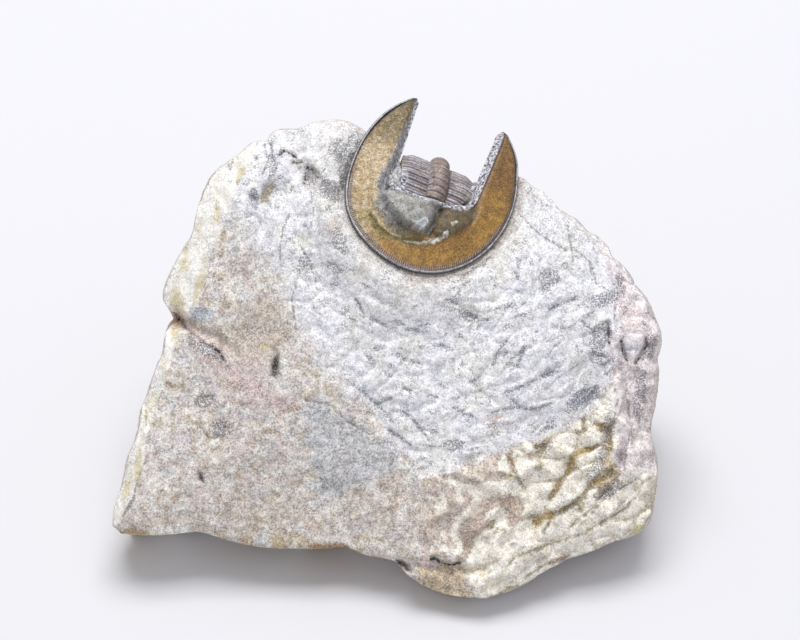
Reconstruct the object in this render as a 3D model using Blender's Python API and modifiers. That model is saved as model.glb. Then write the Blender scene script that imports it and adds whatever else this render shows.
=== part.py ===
"""A harpid trilobite standing on the crest of its block of limestone matrix.

Three loose pieces that never move against each other: the matrix block, the horseshoe-shaped head
shield (cephalon) and the ribbed body (thorax, with the small tail shield fused to its end), which
arches over the crest of the block and runs down its back.
"""

import math

import bmesh
import bpy
import numpy as np
from mathutils import Vector, noise

MM = 0.001

# ---- driving dimensions, in millimetres and degrees --------------------------------------------
GAP = 0.30  # clearance between the fossil plates and the stone

# head shield, in its own frame: x to the animal's right, y backward, z up from the rim's base plane
HEAD_HALF_WIDTH = 15.0  # half the width over the rim
HEAD_FRONT = 18.2  # from the widest line to the front of the rim
ARM_END = 141.0  # angle round the rim, from the front, at which the prolongations end
ARM_INNER = 7.2  # half the opening between the prolongations
ARM_INNER_TIP = 7.7  # the same at the tips
POSTERIOR_Y = -4.8  # the back border of the head, behind the glabella
LEFT_CORNER, RIGHT_CORNER = (2.4, 9.0, 0.9), (5.0, 2.6, 1.4)  # how the border turns into the arms
GIRDER_X, GIRDER_Y, GIRDER_MID = 9.5, 8.5, -3.4  # the inner limit of the brim, an ellipse
RIGHT_SWELL, LEFT_SWELL = 0.028, 0.07  # how far the rim bows out of its ellipse, as shares of it
AXIS_AT_BORDER, AXIS_LEAN = 1.0, 0.30  # the slightly skewed midline of glabella and occiput
RIM_HEIGHT, BRIM_HEIGHT, GIRDER_HEIGHT, BORDER_HEIGHT = 2.0, 1.45, 3.0, 3.9
# raised parts inside the girder: middle, half widths, height over the girder's foot
DOME = (-2.9, -8.8), (5.7, 5.5), 3.35
RIGHT_CHEEK = (5.2, -6.3), (3.6, 5.0), 1.9
FRONT_LOBE = (-0.3, -12.0), (1.5, 1.7), 0.45
SIDE_FURROW = [(2.75, -4.9), (2.35, -8.2), (1.5, -11.6), (0.6, -13.2)]
CROWN_END = -0.9  # how far back that raised middle reaches along the prolongations
RIM_WIDTH = 0.75
GENAL_ROLL = 1.5  # the bevelled band along the inner side of each prolongation

# body
BODY_HALF_WIDTH = 6.85
BODY_FRONT_LEFT, BODY_FRONT_RIGHT = 5.3, 2.8  # narrower where the head's back border rounds it
AXIS_HALF_WIDTH, AXIS_HEIGHT = 1.85, 1.6
BODY_THICKNESS = 1.9
BODY_START_Y, BODY_START_Z = -4.45, 3.0
BODY_STRAIGHT = 2.0  # before it starts to arch
BODY_ARCH_RADIUS, BODY_ARCH_ANGLE = 8.0, 103.0
BODY_TAIL_RUN = 9.0  # straight run down the back of the block
SEGMENT = 1.2  # length of one thoracic segment
RIB_HEIGHT = 0.30

# how the fossil sits on the block: heading, pitch and roll of the head's base plane
FOSSIL_AT = (5.87, 24.12, 0.5)  # its ellipse centre, in the face frame below
X_T = (0.926, -0.372, -0.057)
Y_T = (0.317, 0.852, -0.416)

# block
FACE_TILT = 45.0  # the prepared face looks up and forward at this angle
FACE_MID_Z = 34.0  # height of the middle of the face above the table
FACE_CROWN = 8.0  # how far the face bulges
CORE_V = -7.0  # the outline is measured round this point of the face
BASE_SHRINK, BASE_BACK = 0.9, 8.0  # the foot of the block against its outline
# outline of the block seen square to the face: across, up the face, and depth of the edge
OUTLINE = [
    (-51.7, -36.4, 3.0), (-49.2, -28.0, 2.0), (-45.9, -13.5, 1.0), (-43.6, -4.5, 0.5),
    (-40.2, 0.2, 0.0), (-42.5, 3.6, -0.5), (-42.3, 5.8, -0.5), (-39.5, 12.0, -0.5),
    (-36.9, 18.9, -1.0), (-33.3, 26.6, -2.5), (-24.8, 33.3, -4.0), (-18.5, 35.0, -5.0),
    (-12.6, 35.9, -5.0), (-9.5, 35.6, -5.0), (-6.8, 34.4, -5.0), (-2.5, 30.2, -5.5),
    (0.9, 27.6, -5.5), (7.2, 26.2, -5.5), (14.4, 24.0, -5.5), (18.0, 24.8, -5.5),
    (21.2, 26.2, -5.0), (23.4, 24.6, -4.6), (28.8, 20.4, -4.0), (36.0, 14.6, -3.0),
    (41.5, 8.0, -2.0), (43.9, 4.9, -1.5), (47.1, -3.0, 0.0),
    (46.2, -11.0, -0.5), (45.4, -18.0, 0.0), (46.3, -28.6, 0.0), (45.6, -33.5, 0.3),
    (44.3, -38.2, 0.6), (38.5, -39.6, 1.0), (34.4, -41.6, 1.6), (29.9, -43.0, 2.4),
    (26.4, -44.9, 3.2), (22.6, -47.4, 4.2), (15.3, -50.0, 5.0),
    (7.2, -49.0, 5.0), (1.4, -45.9, 4.5), (-0.7, -43.2, 3.5), (-9.9, -40.7, 3.0),
    (-18.0, -41.0, 3.0), (-28.8, -40.1, 3.0), (-36.0, -37.8, 3.0), (-44.0, -38.6, 3.0),
    (-51.1, -38.2, 3.0),
]
BED_LEVEL = 1.15  # how far the stone stands up round the head shield, over its base plane
RING = 180  # points round each ring of the block
SPARE = 0.9  # stone left outside the outline for the broken surface to be worked into
VIEW = 500.0  # the outline is as seen from this far off
GRAIN = 1.15  # voxel size of the block before it is thinned
BLOCK_TRIANGLES = 5000

# ---- frames ---------------------------------------------------------------------------------------
TILT = math.radians(FACE_TILT)
U = np.array((1.0, 0.0, 0.0))
V = np.array((0.0, math.cos(TILT), math.sin(TILT)))
W = np.array((0.0, -math.sin(TILT), math.cos(TILT)))
MID = np.array((0.0, 0.0, FACE_MID_Z))


def face_to_world(p):
    p = np.asarray(p, float)
    return MID + p[..., 0:1] * U + p[..., 1:2] * V + p[..., 2:3] * W


def world_to_face(p):
    return (np.asarray(p, float) - MID) @ np.array((U, V, W)).T


def unit(v):
    v = np.asarray(v, float)
    return v / np.linalg.norm(v)


XL = unit(X_T)
YL = np.asarray(Y_T, float)
YL = unit(YL - XL * (YL @ XL))
ZL = np.cross(XL, YL)
FOSSIL_AXES = np.array([a[0] * U + a[1] * V + a[2] * W for a in (XL, YL, ZL)])
FOSSIL_MID = face_to_world(FOSSIL_AT)


def fossil_to_world(p):
    return FOSSIL_MID + np.asarray(p, float) @ FOSSIL_AXES


def world_to_fossil(p):
    return (np.asarray(p, float) - FOSSIL_MID) @ FOSSIL_AXES.T


def smooth(t):
    t = np.clip(t, 0.0, 1.0)
    return t * t * (3.0 - 2.0 * t)


# ---- mesh helpers -----------------------------------------------------------------------------------
def clear_scene():
    for obj in list(bpy.data.objects):
        bpy.data.objects.remove(obj, do_unlink=True)
    for extra in list(bpy.context.scene.collection.children):
        bpy.context.scene.collection.children.unlink(extra)


def new_object(name, points_mm, faces, collection):
    mesh = bpy.data.meshes.new(name)
    mesh.from_pydata([tuple(p) for p in np.asarray(points_mm) * MM], [], [list(f) for f in faces])
    mesh.validate()
    work = bmesh.new()
    work.from_mesh(mesh)
    bmesh.ops.recalc_face_normals(work, faces=work.faces)
    if work.calc_volume(signed=True) < 0:
        bmesh.ops.reverse_faces(work, faces=work.faces)
    work.to_mesh(mesh)
    work.free()
    obj = bpy.data.objects.new(name, mesh)
    collection.objects.link(obj)
    return obj


def loft(rings):
    """A closed body through rings of equally many points, with flat ends."""
    count = len(rings[0])
    faces = []
    for i in range(len(rings) - 1):
        for j in range(count):
            k = (j + 1) % count
            faces.append((i * count + j, i * count + k, (i + 1) * count + k, (i + 1) * count + j))
    last = (len(rings) - 1) * count
    faces.append(tuple(reversed(range(count))))
    faces.append(tuple(last + j for j in range(count)))
    return np.concatenate(rings), faces


def points_of(obj):
    flat = np.empty(len(obj.data.vertices) * 3, np.float64)
    obj.data.vertices.foreach_get("co", flat)
    return flat.reshape(-1, 3) / MM


def normals_of(obj):
    flat = np.empty(len(obj.data.vertices) * 3, np.float32)
    obj.data.vertices.foreach_get("normal", flat)
    return flat.reshape(-1, 3).astype(float)


def put_points(obj, points_mm):
    obj.data.vertices.foreach_set("co", (np.asarray(points_mm) * MM).ravel())
    obj.data.update()


def bake(obj):
    """Replaces an object's mesh with what its modifiers make of it."""
    bpy.context.view_layer.update()
    graph = bpy.context.evaluated_depsgraph_get()
    mesh = bpy.data.meshes.new_from_object(obj.evaluated_get(graph))
    obj.modifiers.clear()
    obj.data = mesh


def perlin(points, size, seed=0.0):
    shift = Vector((seed * 17.3, seed * 5.1, seed * 9.7))
    return np.array([noise.noise(Vector(p) / size + shift) for p in points])


# ---- the head shield ----------------------------------------------------------------------------------
def rim_size(turn):
    """The rim's size by degrees from the front: it bows out at the right tip and the left front."""
    right, left = smooth((turn - 108) / 20), np.exp(-(((turn + 55) / 26) ** 2))
    return 1.0 + RIGHT_SWELL * right + LEFT_SWELL * left


def rim_point(angle):
    ellipse = np.array((HEAD_HALF_WIDTH * math.sin(angle), -HEAD_FRONT * math.cos(angle)))
    return rim_size(math.degrees(angle)) * ellipse


def rim_share(local):
    """Distance from the middle of the head, in plan: 1 on the rim."""
    x, y = local[:, 0] / HEAD_HALF_WIDTH, local[:, 1] / HEAD_FRONT
    return np.hypot(x, y) / rim_size(np.degrees(np.arctan2(x, -y)))


def inner_point(angle):
    """The point of the inner edge (back border or inner side of a prolongation) facing a rim angle."""
    side = 1.0 if angle >= 0 else -1.0
    turn = math.degrees(abs(angle))
    corner, end = 78.0, ARM_END
    climb, round_off, spread = RIGHT_CORNER if side > 0 else LEFT_CORNER
    if turn < corner:
        x = ARM_INNER * math.sin(math.radians(90 * turn / corner)) ** spread
        y = POSTERIOR_Y + climb * (turn / corner) ** round_off
    else:
        t = (turn - corner) / (end - corner)
        tip = rim_point(math.radians(ARM_END))
        x = ARM_INNER + (ARM_INNER_TIP - ARM_INNER) * t**1.6
        y = (POSTERIOR_Y + climb) + (tip[1] - 1.2 - POSTERIOR_Y - climb) * t
    return np.array((side * x, y))


def mound(x, y, form):
    """A steep-sided rise with a rounded top."""
    (mid_x, mid_y), (half_x, half_y), high = form
    inside = 1 - ((x - mid_x) / half_x) ** 2 - ((y - mid_y) / half_y) ** 2
    return high * np.sqrt(np.clip(inside, 0, 1))


def segment_distance(u, v, line):
    """Distance in a plane, mm, from a polyline."""
    best = np.full(len(u), 1e9)
    for (u0, v0), (u1, v1) in zip(line[:-1], line[1:]):
        du, dv = u1 - u0, v1 - v0
        t = np.clip(((u - u0) * du + (v - v0) * dv) / (du * du + dv * dv), 0, 1)
        best = np.minimum(best, np.hypot(u - u0 - t * du, v - v0 - t * dv))
    return best


def head_height(x, y, from_rim, from_inner):
    """Height of the upper surface; the last two are distances in plan from the rim and the inner edge."""
    x, y = np.asarray(x, float), np.asarray(y, float)
    rim = RIM_HEIGHT - 0.5 * smooth((from_rim - 0.3) / (RIM_WIDTH - 0.3))
    rim = np.where(from_rim < 0.3, RIM_HEIGHT - 0.35 * (1 - from_rim / 0.3), rim)
    # the brim climbs gently from just inside the rim to the girder
    e = np.sqrt((x / GIRDER_X) ** 2 + ((np.minimum(y, GIRDER_MID) - GIRDER_MID) / GIRDER_Y) ** 2)
    outward = np.clip((e - 1.0) * 8.0, 0.0, 8.0)
    climb = np.clip(1.0 - outward / 6.2, 0.0, 1.0)
    brim = BRIM_HEIGHT + (GIRDER_HEIGHT - BRIM_HEIGHT) * climb**1.7
    z = np.where(from_rim < RIM_WIDTH, np.maximum(rim, BRIM_HEIGHT), brim)
    # inside the girder: one broad dome of glabella and left cheek, a furrow, the lower right cheek
    inside = smooth((1.0 - e) / 0.10)
    back = smooth((from_inner - 0.25) / 1.3)
    m = x - AXIS_AT_BORDER - AXIS_LEAN * (y - POSTERIOR_Y)
    crown = GIRDER_HEIGHT - 0.45 + np.maximum(mound(x, y, DOME), mound(x, y, RIGHT_CHEEK))
    crown = crown + mound(x, y, FRONT_LOBE)
    crown = crown - 0.65 * np.exp(-((segment_distance(x, y, SIDE_FURROW) / 0.42) ** 2))
    border = BORDER_HEIGHT + 0.7 * np.exp(-((m / 1.9) ** 2))
    crown = crown * back + border * (1 - back)
    crown = crown - 0.4 * np.exp(-(((from_inner - 1.25) / 0.3) ** 2)) * (np.abs(m) > 1.6)
    rise = (np.maximum(crown, 2.2) - z) * inside
    z = z + rise * smooth((CROWN_END - y) / 2.4)
    # the genal roll: a bevel down to the inner edge of each prolongation
    roll = smooth(from_inner / GENAL_ROLL)
    arm = smooth((y - POSTERIOR_Y - 0.6) / 3.0)
    low = 1.3
    z = z * (1 - arm) + arm * (low + (z - low) * roll)
    return z


def girder_share(outer, inner):
    """Where, along a line in plan from the rim to the inner edge, the brim ends."""
    f = np.linspace(0, 1, 241)
    plan = outer + (inner - outer) * f[:, None]
    y = np.minimum(plan[:, 1], GIRDER_MID) - GIRDER_MID
    e = np.hypot(plan[:, 0] / GIRDER_X, y / GIRDER_Y)
    span = np.linalg.norm(outer - inner)
    # along the prolongations the girder gives way to the line where the genal roll starts
    bevel = 1 - GENAL_ROLL / span
    girder = min(f[e < 1.0][0] if (e < 1.0).any() else 1.0, bevel)
    along = smooth((inner[1] - POSTERIOR_Y - 1.5) / 3.0)
    return girder + (bevel - girder) * along, span


def head_sections(stations, on_brim, on_cheek):
    """Closed sections from the rim to the inner edge, with a line of points along the girder."""
    rings = []
    top = math.radians(ARM_END)
    for t in np.linspace(-1.0, 1.0, stations):
        outer, inner = rim_point(top * t), inner_point(top * t)
        girder, span = girder_share(outer, inner)
        first, second = min(0.2, 0.3 / span), min(0.4, RIM_WIDTH / span)
        girder = max(girder, second + 0.05)
        f = np.concatenate(((0.0, first), np.linspace(second, girder, on_brim),
                            np.linspace(girder, 1.0, on_cheek + 1)[1:]))
        plan = outer + (inner - outer) * f[:, None]
        z = head_height(plan[:, 0], plan[:, 1], f * span, (1 - f) * span)
        # toward the tips the plate thins
        z = z * (1.0 - 0.25 * smooth((abs(ARM_END * t) - 115) / 26))
        lower = [(*inner, 0.0), (*(0.5 * (inner + outer)), 0.0), (*outer, 0.0)]
        rings.append(np.concatenate((np.column_stack((plan, z)), lower)))
    return rings


def tapered_ends(rings, reach):
    """Adds smaller rings past each end, so the prolongations finish in blunt, rounded points."""
    out = list(rings)
    for at in (0, -1):
        first = rings[at]
        chord = first[-4] - first[0]
        way = unit((-chord[1], chord[0], 0.0) if at == 0 else (chord[1], -chord[0], 0.0))
        mid = first[[0, -4, -3, -1]].mean(axis=0)  # between the section's four corners
        for share, size in ((0.3, 0.96), (0.58, 0.84), (0.8, 0.64), (0.95, 0.36)):
            small = mid + (first - mid) * size + way * reach * share
            small[:, 2] = mid[2] + (first[:, 2] - mid[2]) * (0.5 + 0.5 * size)
            out.insert(0, small) if at == 0 else out.append(small)
    return out


def make_head(collection):
    rings = tapered_ends(head_sections(66, 5, 10), 0.9)
    points, faces = loft(rings)
    return new_object("cephalon", fossil_to_world(points), faces, collection)


def head_outline(grow):
    top = math.radians(ARM_END + 2.0)
    angles = np.linspace(-top, top, 97)
    outer = np.array([rim_point(a) for a in angles])
    inner = np.array([inner_point(a) for a in angles * (ARM_END / (ARM_END + 2.0))])
    loop = np.concatenate((outer, inner[::-1]))
    before, after = np.roll(loop, 1, axis=0), np.roll(loop, -1, axis=0)
    way = after - before
    way /= np.linalg.norm(way, axis=1)[:, None] + 1e-9
    normal = np.column_stack((way[:, 1], -way[:, 0]))
    return loop + normal * grow


# ---- the body ---------------------------------------------------------------------------------------------
def body_frame(s):
    """Middle of the body at a distance s along it: y and z, and the direction it heads in."""
    y, z = BODY_START_Y, BODY_START_Z
    if s <= BODY_STRAIGHT:
        return y + s, z, 0.0
    arch = BODY_ARCH_RADIUS * math.radians(BODY_ARCH_ANGLE)
    turn = min((s - BODY_STRAIGHT) / BODY_ARCH_RADIUS, math.radians(BODY_ARCH_ANGLE))
    y += BODY_STRAIGHT + BODY_ARCH_RADIUS * math.sin(turn)
    z -= BODY_ARCH_RADIUS * (1 - math.cos(turn))
    more = max(0.0, s - BODY_STRAIGHT - arch)
    return y + more * math.cos(turn), z - more * math.sin(turn), turn


BODY_LENGTH = BODY_STRAIGHT + BODY_ARCH_RADIUS * math.radians(BODY_ARCH_ANGLE) + BODY_TAIL_RUN


def body_half_width(s, side=0):
    """Half width of the body at s; side -1 or 1 gives the narrower front of that side."""
    t = s / BODY_LENGTH
    taper = 1.0 - 0.42 * smooth((t - 0.45) / 0.5)
    half = BODY_HALF_WIDTH * taper * math.sqrt(max(0.02, 1 - max(0.0, (t - 0.86) / 0.14) ** 2.2))
    if side > 0:
        half -= (BODY_HALF_WIDTH - BODY_FRONT_RIGHT) * math.exp(-max(s, 0.0) / 1.3)
    if side < 0:
        half -= (BODY_HALF_WIDTH - BODY_FRONT_LEFT) * max(0.0, 1 - max(s, 0.0) / 7.0) ** 1.3
    return half


def axis_at(s):
    """Sideways place of the axial ridge, which lines up with the skewed back of the glabella."""
    return AXIS_AT_BORDER * (1 - smooth(s / 9.0))


def body_ring(s, across, bulge):
    """One section: the domed axis, flat ribs with down-turned ends, and the underside."""
    y, z, turn = body_frame(s)
    left, right, mid = body_half_width(s, -1), body_half_width(s, 1), axis_at(s)
    axis = AXIS_HALF_WIDTH * (body_half_width(s) / BODY_HALF_WIDTH) ** 0.8
    axis = min(axis, 0.92 * (right - mid))
    f = np.asarray(across)
    inner = 0.29  # this share of each side is the axis
    beyond = (np.abs(f) - inner) / (1 - inner)
    x = np.where(f > inner, mid + axis + (right - mid - axis) * beyond, mid + f / inner * axis)
    x = np.where(f < -inner, mid - axis - (left + mid - axis) * beyond, x)
    size = (body_half_width(s) / BODY_HALF_WIDTH) ** 0.5
    dome = AXIS_HEIGHT * size * np.sqrt(np.clip(1 - (f / inner) ** 2, 0, 1))
    droop = (0.25 + 0.9 * smooth((s - 8.0) / 6.0)) * smooth((np.abs(f) - 0.72) / 0.28)
    lift = dome - droop + bulge * (1 - 0.6 * smooth((np.abs(f) - 0.8) / 0.2))
    bottom = -BODY_THICKNESS
    xs = np.concatenate((x, (right, 0.0, -left)))
    ns = np.concatenate((lift, (bottom, bottom, bottom)))
    return np.column_stack((xs, y + ns * math.sin(turn), z + ns * math.cos(turn)))


ACROSS = (-1.0, -0.9, -0.7, -0.45, -0.29, -0.2, -0.1, 0.0, 0.1, 0.2, 0.29, 0.45, 0.7, 0.9, 1.0)


def make_body(collection):
    rings = []
    s = 0.0
    tail = BODY_LENGTH - 3.0
    while s < tail:
        rings.append(body_ring(s, ACROSS, 0.0))
        rings.append(body_ring(s + 0.45 * SEGMENT, ACROSS, RIB_HEIGHT))
        rings.append(body_ring(s + 0.88 * SEGMENT, ACROSS, RIB_HEIGHT * 0.7))
        s += SEGMENT
    for more in (0.1, 0.9, 1.7, 2.3, 2.7):
        if s + more < BODY_LENGTH - 0.05:
            rings.append(body_ring(s + more, ACROSS, 0.05))
    points, faces = loft(rings)
    return new_object("thorax", fossil_to_world(points), faces, collection)


def body_tool(name, top, bottom, grow, flare, collection, past=0.6):
    """A bar that follows the body between two distances from its surface: a bed, or a clearing."""
    rings = []
    for s in np.linspace(-past, BODY_LENGTH + past, 46):
        y, z, turn = body_frame(max(s, 0.0))
        y += min(s, 0.0)
        if s > BODY_LENGTH:
            y, z, turn = body_frame(s)
        at = min(max(s, 0.0), BODY_LENGTH * 0.93)
        left, right = (max(body_half_width(at, side), 2.0) + grow for side in (-1, 1))
        high = top(at) if callable(top) else top
        step = bottom + 1.0
        ns = np.array((high, high, step, bottom, bottom, step))
        xs = np.array((-left - flare, right + flare, right, right, -left, -left))
        rings.append(np.column_stack((xs, y + ns * math.sin(turn), z + ns * math.cos(turn))))
    points, faces = loft(rings)
    return new_object(name, fossil_to_world(points), faces, collection)


# ---- the block ---------------------------------------------------------------------------------------------
def outline_rings():
    table = np.array(OUTLINE)
    angle = np.arctan2(table[:, 1] - CORE_V, table[:, 0])
    order = np.argsort(angle)
    angle, table = angle[order], table[order]
    radius = np.hypot(table[:, 0], table[:, 1] - CORE_V)
    angle = np.concatenate((angle - 2 * math.pi, angle, angle + 2 * math.pi))
    radius = np.tile(radius, 3)
    depth = np.tile(table[:, 2], 3)
    theta = np.linspace(-math.pi, math.pi, RING, endpoint=False)
    return theta, np.interp(theta, angle, radius), np.interp(theta, angle, depth)


def edge_bevel(theta):
    """Width of the broken bevel round the face, and how much it drops, by direction."""
    deg = np.degrees(theta)
    stops = [-180, -150, -128, -110, -75, -50, -25, 0, 20, 50, 80, 105, 130, 150, 165, 180]
    width = [4.5, 4.5, 1.5, 1.5, 3.5, 7.0, 7.5, 8.5, 8.0, 8.0, 9.0, 9.0, 7.0, 5.0, 4.5, 4.5]
    drop = [3.8, 3.8, 2.6, 2.6, 2.2, 4.0, 5.0, 6.5, 6.5, 7.0, 8.0, 7.5, 6.0, 4.5, 4.0, 3.8]
    return np.interp(deg, stops, width), np.interp(deg, stops, drop)


def make_block_loft(collection):
    theta, radius, depth = outline_rings()
    width, drop = edge_bevel(theta)
    radius = radius + SPARE
    ray = np.column_stack((np.cos(theta), np.sin(theta)))

    def ring(r, w):
        return np.column_stack((ray[:, 0] * r, CORE_V + ray[:, 1] * r, w))

    arris = radius - width
    arris_w = depth + drop
    rings = []
    for share in (0.02, 0.3, 0.6, 0.85, 1.0):
        crown = FACE_CROWN - (FACE_CROWN - arris_w) * share**2.4
        rings.append(face_to_world(ring(arris * share, crown)))
    rings.append(face_to_world(ring(radius - 0.3 * width, depth + 0.55 * drop)))
    edge = face_to_world(ring(radius, depth))
    rings.append(edge)
    foot = edge.copy()
    foot[:, 0] *= BASE_SHRINK
    foot[:, 1] = foot[:, 1] * BASE_SHRINK + BASE_BACK
    foot[:, 2] = -3.0
    # behind, the wall swells outward; in front, where the block overhangs, it draws in
    way = np.column_stack((ray[:, 0], ray[:, 1], np.zeros(RING)))
    behind = smooth((ray[:, 1] + 0.55) / 0.9)[:, None]
    for share, bulge in ((0.1, 0.2), (0.35, 1.8), (0.65, 2.2), (1.0, 0.0)):
        level = edge * (1 - share) + foot * share
        rings.append(level + way * (bulge * behind - 0.8 * (share < 1) * (1 - behind)))
    points, faces = loft(rings)
    return new_object("matrix", points, faces, collection)


def bed_prism(name, collection):
    """Stone under the head, up to its base plane and no further back than the crest."""
    angles = np.linspace(-math.radians(112), math.radians(112), 40)
    plan = np.array([rim_point(a) * 1.04 for a in angles])
    rings = []
    for z, grow in ((0.25, 1.0), (-2.5, 1.0), (-9.0, 0.8)):
        rings.append(np.column_stack((plan * grow, np.full(len(plan), z))))
    points, faces = loft(rings)
    return new_object(name, fossil_to_world(points), faces, collection)


def join_into(target, others):
    work = bmesh.new()
    for obj in (target, *others):
        work.from_mesh(obj.data)
    work.to_mesh(target.data)
    work.free()
    for obj in others:
        bpy.data.objects.remove(obj, do_unlink=True)


# where the preparator's tool worked the face down, and the fresh limestone shows
WORKED = [(-12.6, -9.0), (-0.9, -21.6), (3.6, -27.0), (8.1, -27.0), (18.0, -22.5), (28.8, -19.8),
          (36.0, -14.4), (38.7, -7.2)]


def below_worked(u, v):
    """How far, mm, a point lies under the lower limit of the worked part of the face."""
    line = np.array(WORKED)
    limit = np.interp(u, line[:, 0], line[:, 1])
    limit = np.where(u < WORKED[0][0], WORKED[0][1] + (WORKED[0][0] - u) * 1.6, limit)
    return limit - v


def hold_outline(points, weight):
    """Draws stone that stands outside the measured outline back to it."""
    theta, radius, _ = outline_rings()
    u, v, w = world_to_face(points).T
    far = np.hypot(u, v - CORE_V)
    edge = np.interp(np.arctan2(v - CORE_V, u), theta, radius, period=2 * math.pi)
    edge = edge * (1 - w / VIEW)
    over = np.maximum(far - edge, 0.0) * weight
    scale = 1 - over * 0.9 / np.maximum(far, 1.0)
    return face_to_world(np.column_stack((u * scale, CORE_V + (v - CORE_V) * scale, w)))


def shape_block(obj):
    """Gives the block its broken walls, ledges, steps, furrows and pits."""
    points, normals = points_of(obj), normals_of(obj)
    face = world_to_face(points)
    u, v, w = face.T
    front = smooth((normals @ W - 0.35) / 0.35)
    wall = 1.0 - front
    local = world_to_fossil(points)
    near = rim_share(local)
    bed = 1.0 - smooth((near - 1.12) / 0.45)
    bed *= np.where(local[:, 2] > -7.5, 1.0, 0.0)
    body_gap = np.abs(local[:, 0]) < BODY_HALF_WIDTH + 2.0
    on_back = body_gap & (local[:, 1] > -4) & (local[:, 2] > -22) & (local[:, 2] < 4)
    quiet = 1.0 - np.maximum(bed, np.where(on_back, 1.0, 0.0))

    lift = 0.9 * perlin(points, 17.0, 1) + 0.45 * perlin(points, 7.0, 2)
    lift += 0.30 * perlin(points, 3.2, 3) * (0.5 + wall)
    # bedding: here and there the walls step in and out along planes parallel to the face
    beds = w + 1.6 * perlin(points, 19.0, 4) + 1.8 * np.sin(w / 3.7) * np.sin(w / 8.3 + 1.0)
    patchy = smooth(0.5 + 1.6 * perlin(points, 16.0, 8))
    layer = beds / 5.3
    part = layer - np.floor(layer)
    lift += wall * patchy * 0.95 * (smooth(part / 0.22) - smooth((part - 0.5) / 0.5) - 0.5)
    part = beds / 1.9 - np.floor(beds / 1.9)
    lift += wall * (1 - 0.6 * patchy) * 0.28 * (smooth(part / 0.3) - part)
    # fracture facets bitten out of the walls
    bite = np.array([noise.voronoi(Vector(p) / 15.0)[0][0] for p in points])
    lift += wall * 3.0 * (bite - 0.45)
    # lumpy lower right of the face, with burrow-like ridges
    under = below_worked(u, v)
    worm = np.abs(perlin(points * np.array((1.0, 1.0, 1.0)), 5.2, 6))
    lumpy = smooth((under + 0.5) / 2.5) * smooth((u - 2.0) / 6.0) * front
    lift += lumpy * (0.75 - 2.6 * np.minimum(worm, 0.42))
    # the natural skin stands a little above the worked part
    ragged = under + 1.5 * perlin(points, 6.0, 9)
    lift += front * 0.55 * smooth(ragged / 1.8) * smooth((u + 14.0) / 12.0)
    # shallow scoops left by the tool
    scoop = np.abs(perlin(points, 4.1, 7))
    lift -= front * (1 - smooth(under / 1.6)) * 0.35 * (1 - smooth(scoop / 0.25))
    # notch of the left edge with the crack that runs in from it
    crack = segment_distance(u, v, [(-44.0, 1.0), (-37.5, -1.0), (-33.0, -3.0), (-29.5, -5.5)])
    lift -= 1.5 * np.exp(-((crack / 1.1) ** 2)) * smooth((-27 - u) / 8.0)
    # crevice and pits on the upper left
    crevice = segment_distance(u, v, [(-17.3, 27.2), (-16.2, 25.0), (-14.0, 23.2), (-11.4, 21.4)])
    lift -= 1.3 * np.exp(-((crevice / 1.2) ** 2)) * front
    pit = np.hypot((u + 21.8) / 1.8, (v - 23.0) / 1.3)
    lift -= 0.9 * np.exp(-(pit**2)) * front
    # crack between the face and the low lobe of the bottom edge
    lobe = segment_distance(u, v, [(-0.5, -43.0), (5.4, -43.8), (10.8, -44.6), (15.0, -44.2)])
    lift -= 1.1 * np.exp(-((lobe / 0.9) ** 2))
    moved = points + normals * (lift * quiet)[:, None]
    moved = hold_outline(moved, quiet)

    # round the head the face follows the fossil's own plane
    aim = np.clip(BED_LEVEL - local[:, 2], -3.5, 3.5)
    pull = bed * front * (local[:, 1] < 9.0) * smooth((local[:, 2] + 7.5) / 2.0)
    along = FOSSIL_AXES[2]
    keep = (near > 0.9)
    moved = moved + along * (aim * pull * keep)[:, None]
    # a shallow worn band just outside the rim
    moat = np.exp(-(((near - 1.10) / 0.05) ** 2)) * front * (local[:, 2] > -4)
    moved = moved - along * (0.25 * moat)[:, None]
    put_points(obj, moved)


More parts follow.
